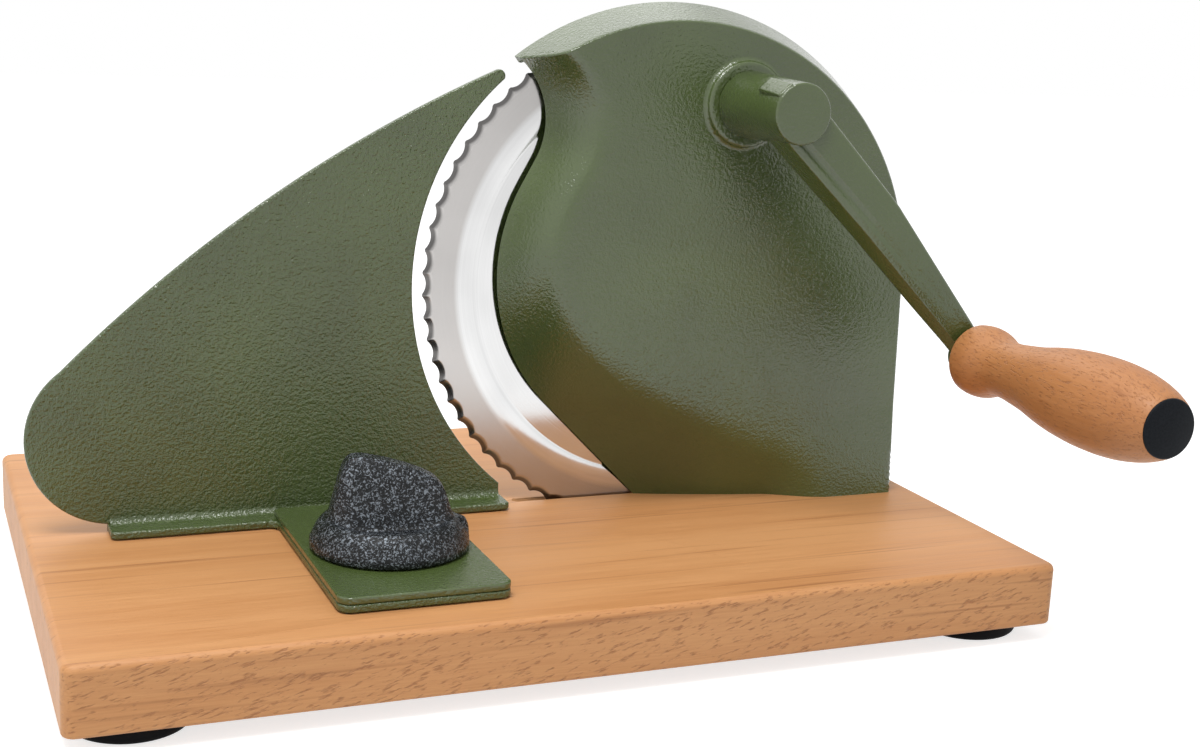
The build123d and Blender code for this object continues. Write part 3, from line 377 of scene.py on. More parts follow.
def blend(tree, factor, first, second):
    """Two colours mixed."""
    sockets = {0: factor}
    for index, value in ((6, first), (7, second)):
        sockets[index] = value if isinstance(value, bpy.types.NodeSocket) else (*value, 1)
    return node(tree, "ShaderNodeMix", sockets, data_type="RGBA").outputs[2]


def bump(tree, height, distance, strength=1.0):
    """Bumped normal from a height; distance in metres."""
    sockets = {"Height": height, "Distance": distance, "Strength": strength}
    return node(tree, "ShaderNodeBump", sockets).outputs["Normal"]


def around(tree, value, middle_value, spread):
    """A noise value turned into a setting that varies round a middle value by a share of it."""
    low, high = spread
    return remap(tree, value, 0.3, 0.7, middle_value * low, middle_value * high)


def enamel(name, colour, peel, roughness):
    """Sprayed gloss enamel: colour that drifts a little, and an orange peel skin."""
    material, tree, shader = finish(name, Specular_IOR_Level=0.8)
    where = place_of(tree)
    drift = noise(tree, where, 22, 2)
    deep = tuple(c * 0.86 for c in colour)
    pale = tuple(c * 1.12 for c in colour)
    coarse = noise(tree, where, 950, 1.5, 0.55)
    fine = noise(tree, where, 2000, 1.0)
    skin = math(tree, "ADD", coarse, math(tree, "MULTIPLY", fine, 0.35))
    sockets = {
        "Base Color": ramp(tree, drift, 0.3, deep, 0.7, pale),
        "Normal": bump(tree, skin, 0.00016 * peel),
        "Roughness": around(tree, noise(tree, where, 60, 2), roughness, (0.85, 1.15)),
    }
    plug(tree, shader, sockets)
    return material


def beech(name, pale, deep, dark, along, marks, lean=0.0, marked_axis=None):
    """Oiled beech: slow bands, fine grain and thin dark lines along the grain, and short marks.

    along is the grain's axis. marks are how close the short marks come along and across the grain,
    per metre, and lean turns them out of it. They show on faces across marked_axis, and faintly on
    the others, or everywhere.
    """
    material, tree, shader = finish(name)

    def grain(stretch, scale, detail):
        sizes = [1.0, 1.0, 1.0]
        sizes[along] = stretch
        return noise(tree, place_of(tree, tuple(sizes)), scale, detail, 0.6, 0.3)

    bands = grain(0.05, 55, 3)
    fine = grain(0.035, 1300, 3)
    lines = grain(0.02, 330, 2)
    colour = ramp(tree, mixed(tree, bands, 0.62, fine, 0.38), 0.38, deep, 0.6, pale)
    colour = blend(tree, remap(tree, lines, 0.6, 0.74, 0.0, 0.55), colour, dark)
    spread = [marks[1]] * 3
    spread[along] = marks[0]
    turn = (0.0, lean, 0.0) if along == 0 else (0.0, 0.0, lean)
    short = noise(tree, place_of(tree, tuple(spread), turn), 1.0, 2.0, 0.6)
    mask = remap(tree, short, 0.56, 0.68)
    if marked_axis is not None:
        geometry = node(tree, "ShaderNodeNewGeometry")
        split = node(tree, "ShaderNodeSeparateXYZ", {"Vector": geometry.outputs["Normal"]})
        facing = math(tree, "ABSOLUTE", split.outputs[marked_axis])
        mask = math(tree, "MULTIPLY", mask, remap(tree, facing, 0.35, 0.8, 0.06, 1.0))
    relief = math(tree, "SUBTRACT", math(tree, "MULTIPLY", fine, 0.45), mask)
    sockets = {
        "Base Color": blend(tree, math(tree, "MULTIPLY", mask, 0.6), colour, dark),
        "Normal": bump(tree, relief, 0.0003, 0.6),
        "Roughness": remap(tree, fine, 0.3, 0.7, 0.42, 0.56),
    }
    plug(tree, shader, sockets)
    return material


def blade_steel(name, ring_tone, middle_tone):
    """Stainless steel: a brushed ring and a brighter pressed middle, with rings of fine scratches, and
    painted shade darkening the ground strips round the cuts.
    """
    material, tree, shader = finish(name, Metallic=1.0)
    centre = in_frame((BLADE_X, 0, BLADE_Z))[0]
    where = place_of(tree, shift=(-centre[0], 0, -centre[2]))
    split = node(tree, "ShaderNodeSeparateXYZ", {"Vector": where})
    flat = node(tree, "ShaderNodeCombineXYZ", {"X": split.outputs[0], "Z": split.outputs[2]})
    length = node(tree, "ShaderNodeVectorMath", {0: flat.outputs[0]}, operation="LENGTH")
    radius = length.outputs["Value"]
    ring = node(tree, "ShaderNodeCombineXYZ", {"X": radius})
    scratches = noise(tree, ring.outputs[0], 1900, 3, 0.7)
    smudge = noise(tree, where, 30, 2)
    outside = remap(tree, radius, 0.0815, 0.0835)
    base = blend(tree, outside, middle_tone, ring_tone)
    # Painted shade: the ground strips round the cuts are darkened to 0.3 of the ring's tone, standing in
    # for the shade at the cut edges.
    ground = node(tree, "ShaderNodeAttribute", attribute_name="ground")
    painted_cut_shade = remap(tree, ground.outputs["Fac"], 0.02, 0.45)
    base = blend(tree, painted_cut_shade, base, tuple(c * 0.3 for c in ring_tone))
    streaked = remap(tree, math(tree, "ADD", scratches, smudge), 0.7, 1.3, 0.9, 1.1)
    tint = node(tree, "ShaderNodeVectorMath", {0: base, "Scale": streaked}, operation="SCALE")
    worn = remap(tree, scratches, 0.3, 0.7, 0.08, 0.15)
    sockets = {
        "Base Color": tint.outputs["Vector"],
        "Roughness": math(tree, "ADD", worn, math(tree, "MULTIPLY", outside, 0.13)),
        "Normal": bump(tree, scratches, 0.00001, 0.5),
    }
    plug(tree, shader, sockets)
    return material


def machined(name, colour, roughness, grain=900, metallic=1.0):
    """Turned or plated metal: fine noise in tone, roughness and surface."""
    material, tree, shader = finish(name, Metallic=metallic)
    tone = noise(tree, place_of(tree), grain, 3, 0.6)
    sockets = {
        "Base Color": ramp(tree, tone, 0.3, tuple(c * 0.82 for c in colour), 0.7, colour),
        "Roughness": around(tree, tone, roughness, (0.8, 1.25)),
        "Normal": bump(tree, tone, 0.00003, 0.5),
    }
    plug(tree, shader, sockets)
    return material


def hammertone(name, dark, silver):
    """Hammertone lacquer: silver islands in a black ground, with a dimpled, glossy skin."""
    material, tree, shader = finish(name, Specular_IOR_Level=0.3)
    where = place_of(tree)
    wander = noise(tree, where, 1500, 2, 0.6, 0.8)
    level = mixed(tree, wander, 0.8, noise(tree, where, 600, 2, 0.5), 0.2)
    islands = remap(tree, level, 0.54, 0.57)
    sockets = {
        "Base Color": blend(tree, islands, dark, silver),
        "Metallic": remap(tree, islands, 0, 1, 0.0, 0.5),
        "Roughness": remap(tree, islands, 0, 1, 0.22, 0.34),
        "Normal": bump(tree, level, 0.0005, 0.9),
    }
    plug(tree, shader, sockets)
    return material


def moulded(name, colour, roughness, grain):
    """Moulded rubber or plastic: an even, dull colour with a fine cast skin."""
    material, tree, shader = finish(name, Specular_IOR_Level=0.08)
    tone = noise(tree, place_of(tree), grain, 2)
    lift = tuple(c * 1.35 + 0.002 for c in colour)
    sockets = {
        "Base Color": ramp(tree, tone, 0.35, colour, 0.7, lift),
        "Roughness": around(tree, tone, roughness, (0.85, 1.15)),
        "Normal": bump(tree, tone, 0.00005, 0.5),
    }
    plug(tree, shader, sockets)
    return material


def make_finishes(colours):
    """All the finishes, from the colours in the panel."""
    green = tuple(colours.enamel)
    pale, deep, dark = (tuple(c) for c in (colours.beech_pale, colours.beech_deep, colours.beech_mark))
    FINISHES.update(
        cover=enamel("cover enamel", green, 1.7, 0.1),
        fence=enamel("stop plate enamel", green, 3.8, 0.15),
        plate=enamel("knob plate enamel", green, 1.5, 0.09),
        casting=enamel("crank enamel", green, 1.4, 0.12),
        board=beech("board beech", pale, deep, dark, 0, (230.0, 1250.0), 0.28, 1),
        handle=beech(
            "handle beech",
            tuple(c * k for c, k in zip(pale, (0.76, 0.66, 0.58))),
            tuple(c * k for c, k in zip(deep, (0.74, 0.64, 0.55))),
            dark,
            1,
            (300.0, 1700.0),
            0.06,
        ),
        blade=blade_steel("blade steel", tuple(colours.steel_ring), tuple(colours.steel_middle)),
        gear=machined("gear steel", (0.42, 0.41, 0.4), 0.38),
        screw=machined("plated steel", (0.62, 0.62, 0.6), 0.3),
        brass=machined("bush bronze", (0.62, 0.42, 0.2), 0.32),
        aluminium=machined("rail aluminium", (0.72, 0.72, 0.73), 0.35),
        nylon=machined("pale nylon", (0.78, 0.76, 0.7), 0.5, 500, 0.0),
        rubber=moulded("black rubber", (0.006, 0.006, 0.007), 0.62, 800),
        cap=moulded("black cap", (0.008, 0.0095, 0.012), 0.45, 1400),
        knob=hammertone("knob hammertone", tuple(colours.knob_dark), tuple(colours.knob_silver)),
    )


# ================================================================ cover
def cowl_edge_x(height):
    """X of the cowl's free edge at a height above the board.

    From the board up: a straight line at 45 degrees, an arc hollowed round the blade, a straight
    crossing, a swelling arc, and the arc's own tangent.
    """
    hollow = np.array([BLADE_X + 1.0, BLADE_Z + 3.4])
    swell = np.array([BLADE_X - 79.7, BLADE_Z + 58.7])
    hollow_r, swell_r = 68.8, 28.5
    run = swell - hollow
    turn = np.arctan2(run[1], run[0]) + np.arccos((hollow_r + swell_r) / np.hypot(*run))
    foot, end = radians(225), radians(50)
    foot_z = hollow[1] + hollow_r * np.sin(foot)
    leave = hollow + hollow_r * np.array([np.cos(turn), np.sin(turn)])
    meet = swell - swell_r * np.array([np.cos(turn), np.sin(turn)])
    end_z = swell[1] + swell_r * np.sin(end)
    line = hollow[0] + hollow_r * np.cos(foot) + (foot_z - height)
    lower = hollow[0] - np.sqrt(np.maximum(hollow_r**2 - (height - hollow[1]) ** 2, 0))
    across = leave[0] + (meet[0] - leave[0]) * (height - leave[1]) / (meet[1] - leave[1])
    upper = swell[0] + np.sqrt(np.maximum(swell_r**2 - (height - swell[1]) ** 2, 0))
    past = swell[0] + swell_r * np.cos(end) - (height - end_z) * np.tan(end)
    stretches = [height < foot_z, height < leave[1], height < meet[1], height < end_z]
    return np.select(stretches, [line, lower, across, upper], past)


FRONT_Y = BLADE_FRONT - 22.3  # flat face
BACK_Y = BLADE_FRONT + 1.9  # back of the rim
EDGE_Y = BLADE_FRONT - 2.2  # free edge of the cowl
COVER_R = 102.48  # radius of the cover's back outline
FACE_R = 95.7  # radius of its front outline
COVER_WALL = 2.6
BLADE_ROOM_R = 99.3


def rim_depth(x, z):
    """How far back the rim is at a point seen from the front: 0 at the front outline, 1 at the back.

    Above the blade axis the outlines are circles whose centre and radius move together with the
    depth, so the depth solves a quadratic. Below it they are straight lines.
    """
    shift = np.array([4.4, -0.8])
    front_c = np.array([BLADE_X, BLADE_Z]) - shift
    dx, dz = x - front_c[0], z - front_c[1]
    grow = COVER_R - FACE_R
    a = shift @ shift - grow**2
    b = -2 * (dx * shift[0] + dz * shift[1]) - 2 * FACE_R * grow
    c = dx**2 + dz**2 - FACE_R**2
    round_depth = (-b - np.sqrt(np.maximum(b**2 - 4 * a * c, 0))) / (2 * a)
    low = np.clip(1 - z / front_c[1], 0, 1)
    front_x = front_c[0] + FACE_R + 1.6 * low
    back_x = BLADE_X + COVER_R
    side_depth = (x - front_x) / (back_x - front_x)
    return np.where(z > front_c[1], round_depth, np.where(x > BLADE_X, side_depth, -3.0))


def foot_flare(x, z, face):
    """The face with its lower right brought forward.

    The flare begins at a line that rises to the right and levels off. Within a few millimetres
    below it the face turns into a plane that leans out towards the board.
    """
    start = 37 * (1 - np.exp(-np.maximum(x - BLADE_X - 24, 0) / 17))
    below = np.maximum(start - z, 0)
    share = smooth_step((x - BLADE_X - 38) / 28) * smooth_step(below / 6)
    return face + share * (FRONT_Y - 0.085 * below - face)


def cover_y(x, z):
    """Y of the cover's outside at a point seen from the front.

    It is the furthest back of the flared face, the rim and the cowl. The cowl falls from the face to
    its free edge along a swelling curve over a width that fans out towards the board:
    15.5 + 88.5 * (1 - height / 112) ** 2.5.
    """
    fan = np.maximum(1 - np.maximum(z, 0) / 112, 0)
    width = 15.5 + 88.5 * fan**2.5
    share = (x - cowl_edge_x(z)) / width
    clipped = np.clip(share, 0, 1)
    swell = 1.62 * clipped - 0.62 * clipped**2.1
    swell = swell + np.where(share > 1, 0.33 * (share - 1), 0) + np.where(share < 0, 1.62 * share, 0)
    cowl = EDGE_Y - (EDGE_Y - FRONT_Y) * swell
    rim = FRONT_Y + (BACK_Y - FRONT_Y) * rim_depth(x, z)
    face = smooth_max(np.full_like(x, FRONT_Y), np.minimum(cowl, EDGE_Y), 1.6)
    return np.minimum(smooth_max(foot_flare(x, z, face), rim, 2.2), BACK_Y)


def cover_outline():
    """The cover's outline from the front: board, right wall, round rim, cowl's edge."""
    right = BLADE_X + COVER_R
    floor_x = np.linspace(cowl_edge_x(np.array(0.0)), right, 70)[:-1]
    floor = np.stack((floor_x, np.zeros_like(floor_x)), -1)
    wall_z = np.linspace(0, BLADE_Z, 56)[:-1]
    wall = np.stack((np.full_like(wall_z, right), wall_z), -1)
    round_rim = arc((BLADE_X, BLADE_Z), COVER_R, 0, np.degrees(np.arctan2(81.3, -62.4)), 230)
    tip = round_rim[-1]
    down = np.concatenate((np.linspace(0, 0.06, 24)[:-1], np.linspace(0.06, 1, 150)))
    heights = tip[1] * (1 - down)
    edge = np.stack((cowl_edge_x(heights), heights), -1)[:-1]
    edge[0] = tip
    return np.concatenate((floor, wall, round_rim[:-1], edge))


def cover_shell():
    """The cover's outside and inside skins, joined round their rim.

    The outside is a fan of points from a centre to the outline, closer together near the outline,
    each at cover_y. The inside is the outside moved in along its normal by the wall, and kept
    clear of the blade's room.
    """
    centre_x, centre_z = 262.0, 112.0  # a point that sees the whole outline
    outline = cover_outline()
    inner = np.linspace(0.04, 0.78, 22)
    outer = 1 - (1 - 0.78) * (1 - np.linspace(0, 1, 62)[1:]) ** 1.5
    share = np.concatenate((inner, outer))[:, None]
    x = centre_x + (outline[:, 0] - centre_x) * share
    z = centre_z + (outline[:, 1] - centre_z) * share
    y = cover_y(x, z)
    step = 0.02
    slope_x = (cover_y(x + step, z) - cover_y(x - step, z)) / (2 * step)
    slope_z = (cover_y(x, z + step) - cover_y(x, z - step)) / (2 * step)
    length = np.sqrt(1 + slope_x**2 + slope_z**2)
    inner_x = x - COVER_WALL * slope_x / length
    inner_y = y + COVER_WALL / length
    inner_z = np.maximum(z - COVER_WALL * slope_z / length, 0)
    from_axis = np.hypot(inner_x - BLADE_X, inner_z - BLADE_Z)
    inner_y = np.minimum(inner_y, np.where(from_axis < BLADE_ROOM_R, EDGE_Y, BACK_Y))
    outside = np.stack((x, y, z), -1)
    inside = np.stack((inner_x, inner_y, inner_z), -1)[::-1]
    inside_last = inside[:1]
    inside_last[..., 1] = np.minimum(inside_last[..., 1], np.maximum(outside[-1:, :, 1], EDGE_Y))
    return capped(np.concatenate((outside, inside)))


def crank_boss():
    """Round boss for the crank: a hollow fillet out of the face, a ring, and its bored face."""
    sine, cosine = quarter(9)
    hollow = np.stack((15.5 + 2.7 * (1 - sine), FRONT_Y + 0.15 - 1.45 * (1 - cosine)), -1)
    lip = np.stack((13.8 + 1.7 * cosine, FRONT_Y - 1.3 - 1.25 * sine), -1)
    bore_r, outer_r, wall_y = 7.09, 11.0, FRONT_Y + 2.1
    bore = [[bore_r, FRONT_Y - 2.5], [bore_r, BOSS_END], [outer_r, BOSS_END]]
    bore += [[outer_r, wall_y], [14.0, wall_y - 0.2]]
    profile = np.concatenate((hollow, lip, bore, hollow[:1] + [[0, 1.6]], hollow[:1]))
    return turned(profile, (CRANK_X, CRANK_Z))


def axle_boss():
    """Round boss inside the cover that holds the blade's axle."""
    bore_r, outer_r = 5.03, 11.0
    bore = [(bore_r, BOSS_END), (bore_r, 99.5), (0, 99.5), (0, 98.0), (12.5, 98.0), (outer_r, 99.6)]
    bore += [(outer_r, BOSS_END - 0.4), (10.6, BOSS_END), (bore_r, BOSS_END)]
    return turned(bore, (BLADE_X, BLADE_Z))


def cover_lug(x, y):
    """Screw lug inside the cover: a round post with a rib to the front wall."""
    post_r, rib = 4.4, 1.8
    across, up = np.meshgrid((x - 2.0, x, x + 2.0), np.linspace(0, 18, 7))
    front_y = cover_y(across, up).max() + 0.9
    left = [[x - post_r, y - 1.5], [x - rib, y - 4.0], [x - rib, front_y]]
    right = [[x + rib, front_y], [x + rib, y - 4.0], [x + post_r, y - 1.5]]
    outline = np.concatenate((arc((x, y), post_r, 0, 180, 15), left, right))
    return plate(evenly(outline, 1.0), 0.05, 17.9, 0.5, lying, 3)


def build_cover():
    """The cover with its crank boss, axle boss and screw lugs."""
    low, high = span("housing_screws")
    spots = (
        (low[0] + 3.6, BLADE_FRONT - 9.2),
        (low[0] + 35.6, BLADE_FRONT - 13.0),
        (high[0] - 3.6, BLADE_FRONT - 5.0),
    )
    surfaces = [cover_shell(), crank_boss(), axle_boss()]
    surfaces += [cover_lug(x, y) for x, y in spots]
    piece("cover", "base", surfaces, "cover", ("housing",), sharp=50)


# ================================================================ blade
CUTTER, CUT_AT, CUTS = 6.0, 99.6, 72  # radius, place and number of the cuts in the blade's edge
TOOTH_R = 95.0
GROUND = 2.1  # width of the ground strip round each cut
RING_R, MIDDLE_R = 82.5, 75.0  # where the ring ends and where the flat middle begins


def from_nearest_cut(turn):
    """Angle from the middle of the nearest cut."""
    pitch = 2 * np.pi / CUTS
    return (turn + pitch / 2) % pitch - pitch / 2


def ground_share(radius, turn):
    """How much of the blade's front is ground away: 1 at a cut, 0 beyond a narrow strip round it."""
    across = 2 * CUT_AT * radius * np.cos(from_nearest_cut(turn))
    from_cut = np.sqrt(CUT_AT**2 + radius**2 - across)
    return np.clip((CUTTER + GROUND - from_cut) / GROUND, 0, 1)


def build_blade():
    """Scalloped blade.

    Radius and angle are the two parameters. The outline is a circle cut by 72 smaller circles; the
    front face is ground away near each of them in a cone; inside the ring the disc falls back,
    steeper and steeper, to its flat middle.
    """
    steps = CUTS * 16
    turn = np.arange(steps) * 2 * np.pi / steps
    local = from_nearest_cut(turn)
    across = CUT_AT * np.sin(local)
    edge = CUT_AT * np.cos(local) - np.sqrt(np.maximum(CUTTER**2 - across**2, 0))
    edge = np.minimum(edge, TOOTH_R)
    bend = np.linspace(MIDDLE_R, RING_R, 15)
    fixed = np.concatenate(([7.09, 7.3, 12, 20], np.linspace(26, 74.6, 9), bend, [84, 86.5, 89]))
    whole = np.repeat(fixed[:, None], steps, 1)
    share = np.linspace(0, 1, 15)[1:, None]
    radius = np.concatenate((whole, fixed[-1] + (edge - fixed[-1]) * share))
    inwards = np.clip((RING_R - radius) / (RING_R - MIDDLE_R), 0, 1)
    front = BLADE_FRONT + 0.45 * inwards**3 + 0.92 * ground_share(radius, turn) ** 0.85
    back = BLADE_FRONT + BLADE_THICK + DISH * inwards
    x = BLADE_X + radius * np.cos(turn)
    z = BLADE_Z + radius * np.sin(turn)
    outside = np.stack((x, front, z), -1)
    inside = np.stack((x, back, z), -1)[::-1]
    rings = np.concatenate((outside, inside))
    surfaces = [(rings, grid_faces(len(rings), steps, ring=True, loop=True))]
    disc = piece("blade_disc", "blade", surfaces, "blade", ("blade",), sharp=32)
    spots = np.empty(len(disc.data.vertices) * 3)
    disc.data.vertices.foreach_get("co", spots)
    spots = (spots.reshape(-1, 3) - CORNER) * 1000 - (BLADE_X, 0, BLADE_Z)
    share = ground_share(np.hypot(spots[:, 0], spots[:, 2]), np.arctan2(spots[:, 2], spots[:, 0]))
    ground = disc.data.attributes.new("ground", "FLOAT", "POINT")
    ground.data.foreach_set("value", share)


# ================================================================ stop plate and its knob plate
HOLLOW_R = 99.2  # radius of the fence's edge beside the blade
FOOT_LEFT, FOOT_TOP = 27.2, 7.8  # left end of the fence's foot; height of its right end
FOOT_RIGHT = BLADE_X - np.sqrt(HOLLOW_R**2 - (BLADE_Z - FOOT_TOP) ** 2)
FENCE_FRONT, FENCE_BACK = BLADE_FRONT - 1.4, BLADE_FRONT + 1.2
SHEET_LOW, SHEET_HIGH = 0.4, 3.0  # heights of the lying part over the board


def fence_outline():
    """Fence seen from the front: crown, shoulder, round corner, foot, and a hollow beside the blade."""
    tip = arc((BLADE_X, BLADE_Z), HOLLOW_R, 132.3, 132.3, 1)[0]
    crown = tip + [-2.72, 3.2]
    crest, shoulder, low_left = (82.2, 114.6), (12.5, 56.7), (FOOT_LEFT, SHEET_HIGH)
    top = through(tip, tip + [-0.32, 2.56], crown, 9)[:-1]
    upper = through(crown, crest, shoulder, 90)[:-1]
    corner = through(shoulder, (0.6, 33.0), low_left, 60)[:-1]
    foot = [low_left, (FOOT_LEFT, SHEET_LOW), (FOOT_RIGHT, SHEET_LOW), (FOOT_RIGHT, FOOT_TOP)]
    hollow = through((FOOT_RIGHT, FOOT_TOP), (BLADE_X - HOLLOW_R, BLADE_Z), tip, 110)[1:-1]
    return evenly(np.concatenate((top, upper, corner, foot, hollow)), 2.0)


def tongue_outline():
    """Flange and tongue seen from above, corners rounded."""
    left, right = PLATE_LOW[0], PLATE_HIGH[0]
    back, face, end = FENCE_FRONT + 1.4, BLADE_FRONT - 11.6, FOOT_RIGHT + 1.2
    corners = [(FOOT_LEFT, back), (FOOT_LEFT, face), (left, face), (left, TONGUE_FRONT)]
    corners += [(right, TONGUE_FRONT), (right, face), (end, face), (end, back)]
    return evenly(rounded(corners, (0.2, 2.5, 3.5, 4.5, 4.5, 3.5, 2.5, 0.2), 9), 3.0)


def bend_strip():
    """Inside of the bend between fence and flange: a hollow quarter round of 2.4 mm along X."""
    bend_r, columns = 2.4, 30
    sine, cosine = quarter(9)
    rest = [(118.4, 5.4), (118.4, 1.6), (114.8, 1.6)]
    y = FENCE_FRONT - bend_r + bend_r * sine
    z = SHEET_HIGH + bend_r - bend_r * cosine
    section = np.concatenate((np.stack((y, z), -1), rest))
    x = np.linspace(28.0, FOOT_RIGHT - 0.2, columns)
    x = np.repeat(x[:, None], len(section), 1)
    section = np.broadcast_to(section, (columns, *section.shape))
    return capped(np.concatenate((x[..., None], section), -1))


def build_stop_plate():
    """Bent sheet: fence, flange and tongue with eased edges."""
    fence = plate(fence_outline(), FENCE_FRONT, FENCE_BACK, 0.7, standing)
    tongue = plate(tongue_outline(), SHEET_LOW, SHEET_HIGH, 0.7, lying)
    surfaces = [fence, tongue, bend_strip()]
    piece("fence", "stop", surfaces, "fence", ("stop_plate",), even=True)


def build_knob_plate():
    """Upper plate under the knob, lying on the tongue."""
    low, high = PLATE_LOW, PLATE_HIGH
    corners = [(low[0], low[1]), (high[0], low[1]), (high[0], high[1]), (low[0], high[1])]
    outline = evenly(rounded(corners, (4.5, 4.5, 2.5, 2.5), 10), 3.0)
    surface = plate(outline, low[2] + 0.03, high[2], 0.6, lying)
    piece("upper_plate", "stop", [surface], "plate", ("knob_plate",), even=True)


# ================================================================ knob
def knob_height(x, y):
    """Height of the knob's top over its foot, at a point from its axis.

    A steep skirt rises to a rounded shoulder; inside it lies a shallow dish; a fin with a ridge
    that falls to the right stands across it, its sides curving out into the dish.
    """
    radius = np.hypot(x, y)
    skirt = 2.4 + 7.6 * (1 - np.clip((radius - 20.5) / 6.0, 0, 1) ** 2.2)
    dish = 1.9 * smooth_step((20.5 - radius) / 6.5)
    body = skirt - dish
    lean = radians(-9)
    along = x * np.cos(lean) + y * np.sin(lean)
    side = -x * np.sin(lean) + y * np.cos(lean)
    where = (-23.5, -20.6, -19.0, -17.4, -15.8, -13.5, -9.5, -2, 6, 11, 14.5, 17.3, 19.2, 20.6, 22.5)
    high = (2, 10, 16.5, 23.2, 28.4, 31.0, 31.2, 29.7, 27.3, 25.3, 23.4, 20.4, 15.5, 10, 2)
    fine = np.linspace(-26, 26, 521)
    ridge = np.interp(fine, where, high)
    weights = np.exp(-0.5 * (np.arange(-15, 16) / 6.0) ** 2)
    ridge = np.convolve(np.pad(ridge, 15, "edge"), weights / weights.sum(), "valid")
    crest = np.interp(along, fine, ridge)
    off = np.maximum(np.abs(side) - 2.6, 0)
    fin = crest - 0.62 * off**1.75
    nub_from = np.hypot(x - 22.6, y + 3.2)
    nub = 9.2 - 0.35 * np.maximum(nub_from - 1.2, 0) ** 2.6
    return smooth_max(smooth_max(body, fin, 4.2), nub, 1.2)


def build_knob():
    """Knob: its top as a height over radius and angle, then its skirt and foot."""
    steps = 300
    turn = np.arange(steps) * 2 * np.pi / steps
    radius = np.concatenate((np.linspace(0, 19, 70), np.linspace(19, 26.4, 38)[1:]))
    x = radius[:, None] * np.cos(turn)
    y = radius[:, None] * np.sin(turn)
    height = knob_height(x, y)
    top = np.stack((KNOB_X + x, KNOB_Y + y, KNOB_FOOT + height), -1)
    rows = [(26.5, 2.2), (26.5, 0.5), (26.2, 0.1), (25.8, 0.0), (4.05, 0.0), (4.05, 11.0), (0, 11.0)]
    skirt, _ = upright_turned(np.array(rows) + [0, KNOB_FOOT], (KNOB_X, KNOB_Y), steps)
    rings = np.concatenate((top, skirt))
    surfaces = [(rings, grid_faces(len(rings), steps, loop=True))]
    piece("knob_shell", "knob", surfaces, "knob", ("knob",), sharp=60)


# ================================================================ crank and handle
ARM_TURN = radians(-48.9)
ARM_DIR = np.array([np.cos(ARM_TURN), np.sin(ARM_TURN)])
ARM_SIDE = np.array([-np.sin(ARM_TURN), np.cos(ARM_TURN)])
ARM_LENGTH = 115.5
BOSS_FRONT = HUB_FRONT - 3.2  # front of the round end that holds the bolt


def arm_section(along):
    """The arm's cross-section at a distance along it: across and Y, as a closed outline.

    Front face, right side, back and left side, each corner rounded. A groove beside the left edge
    of the front face fades out towards the handle.
    """
    stations = (0, 10, 50, 107, ARM_LENGTH)
    rows = (
        (-9.6, -9.0, -5.8, -2.2, -2.2),
        (8.4, 8.6, 10.0, 7.0, 5.6),
        (-11.0, -11.2, -8.9, -6.4, -6.2),
        (10.6, 10.8, 11.3, 8.4, 6.4),
        (3.4, 2.6, -0.5, -3.0, -3.2),
        (16.0, 15.0, 9.5, 4.1, 3.8),
    )
    left, right, back_left, back_right, front, back = (np.interp(along, stations, row) for row in rows)
    front, back = HUB_FRONT + front, HUB_FRONT + back
    groove = 1.5 * smooth_step((82 - along) / 70) + 1e-3
    corners = [
        (left, front + 0.5),
        (left + 2.2, front),
        (left + 4.0, front + groove),
        (left + 6.0, front + 0.1),
        (right, front),
        (back_right, back),
        (back_left, back),
    ]
    return rounded(corners, (0.7, 0.7, 1.4, 0.9, 1.6, 2.2, 2.2), 7)


def arm_surface():
    """The arm: its section carried from the hub to the handle."""
    stations = np.concatenate((np.linspace(0, 16, 9), np.linspace(18, 114, 33)))
    sections = np.stack([arm_section(s) for s in stations])
    across, y = sections[..., 0], sections[..., 1]
    x = CRANK_X + stations[:, None] * ARM_DIR[0] + across * ARM_SIDE[0]
    z = CRANK_Z + stations[:, None] * ARM_DIR[1] + across * ARM_SIDE[1]
    return capped(np.stack((x, y, z), -1))


def hub_surface():
    """The hub: a slight cone with an eased front edge, bored from the back for the shaft."""
    sine, cosine = quarter(7)
    edge = np.stack((9.8 + 0.9 * cosine, HUB_FRONT + 0.9 * (1 - sine)), -1)
    bottom, bore_r = HUB_FRONT + SHAFT_DEPTH, 5.03
    rows = [(0, bottom), (bore_r, bottom), (bore_r, HUB_BACK), (11.7, HUB_BACK)]
    rows += [(12.1, HUB_BACK - 0.15), (12.23, HUB_BACK - 0.6)]
    rows += edge.tolist() + [(5, HUB_FRONT), (0, HUB_FRONT)]
    return turned(rows, (CRANK_X, CRANK_Z))


def pad_surface():
    """Flat pad on the hub: a wedge that rises towards the back, with eased edges."""
    half, length = 3.25, 15.0
    corners = [(0.9, 4.0), (0.9, 11.0), (length, 12.7), (length, 4.0)]
    outline = evenly(rounded(corners, (0.3, 0.9, 0.8, 0.3), 5), 1.0)

    def turn_to_hub(back, out, across):
        x = CRANK_X - ARM_DIR[0] * out + ARM_SIDE[0] * across
        z = CRANK_Z - ARM_DIR[1] * out + ARM_SIDE[1] * across
        return np.stack((x, HUB_FRONT + back, z), -1)

    return plate(outline, -half, half, 0.6, turn_to_hub)


def end_boss():
    """Round end of the arm that the handle's bolt is screwed into."""
    sine, cosine = quarter(6)
    boss_r, ease, bore_r, back = 7.0, 0.7, 3.12, BOSS_FRONT + 7.0
    front = np.stack((boss_r - ease * (1 - cosine), BOSS_FRONT + ease * (1 - sine)), -1)
    rows = [(bore_r, back), (6.4, back), (boss_r, back - 0.6)]
    rows += front.tolist() + [(bore_r, BOSS_FRONT), (bore_r, back)]
    return turned(rows, (HANDLE_X, HANDLE_Z), 64)


def build_crank():
    """Crank casting: hub, pad, arm and the boss at its end."""
    surfaces = [hub_surface(), pad_surface(), arm_surface(), end_boss()]
    piece("crank", "crank", surfaces, "casting", ("crank_casting",), sharp=44)


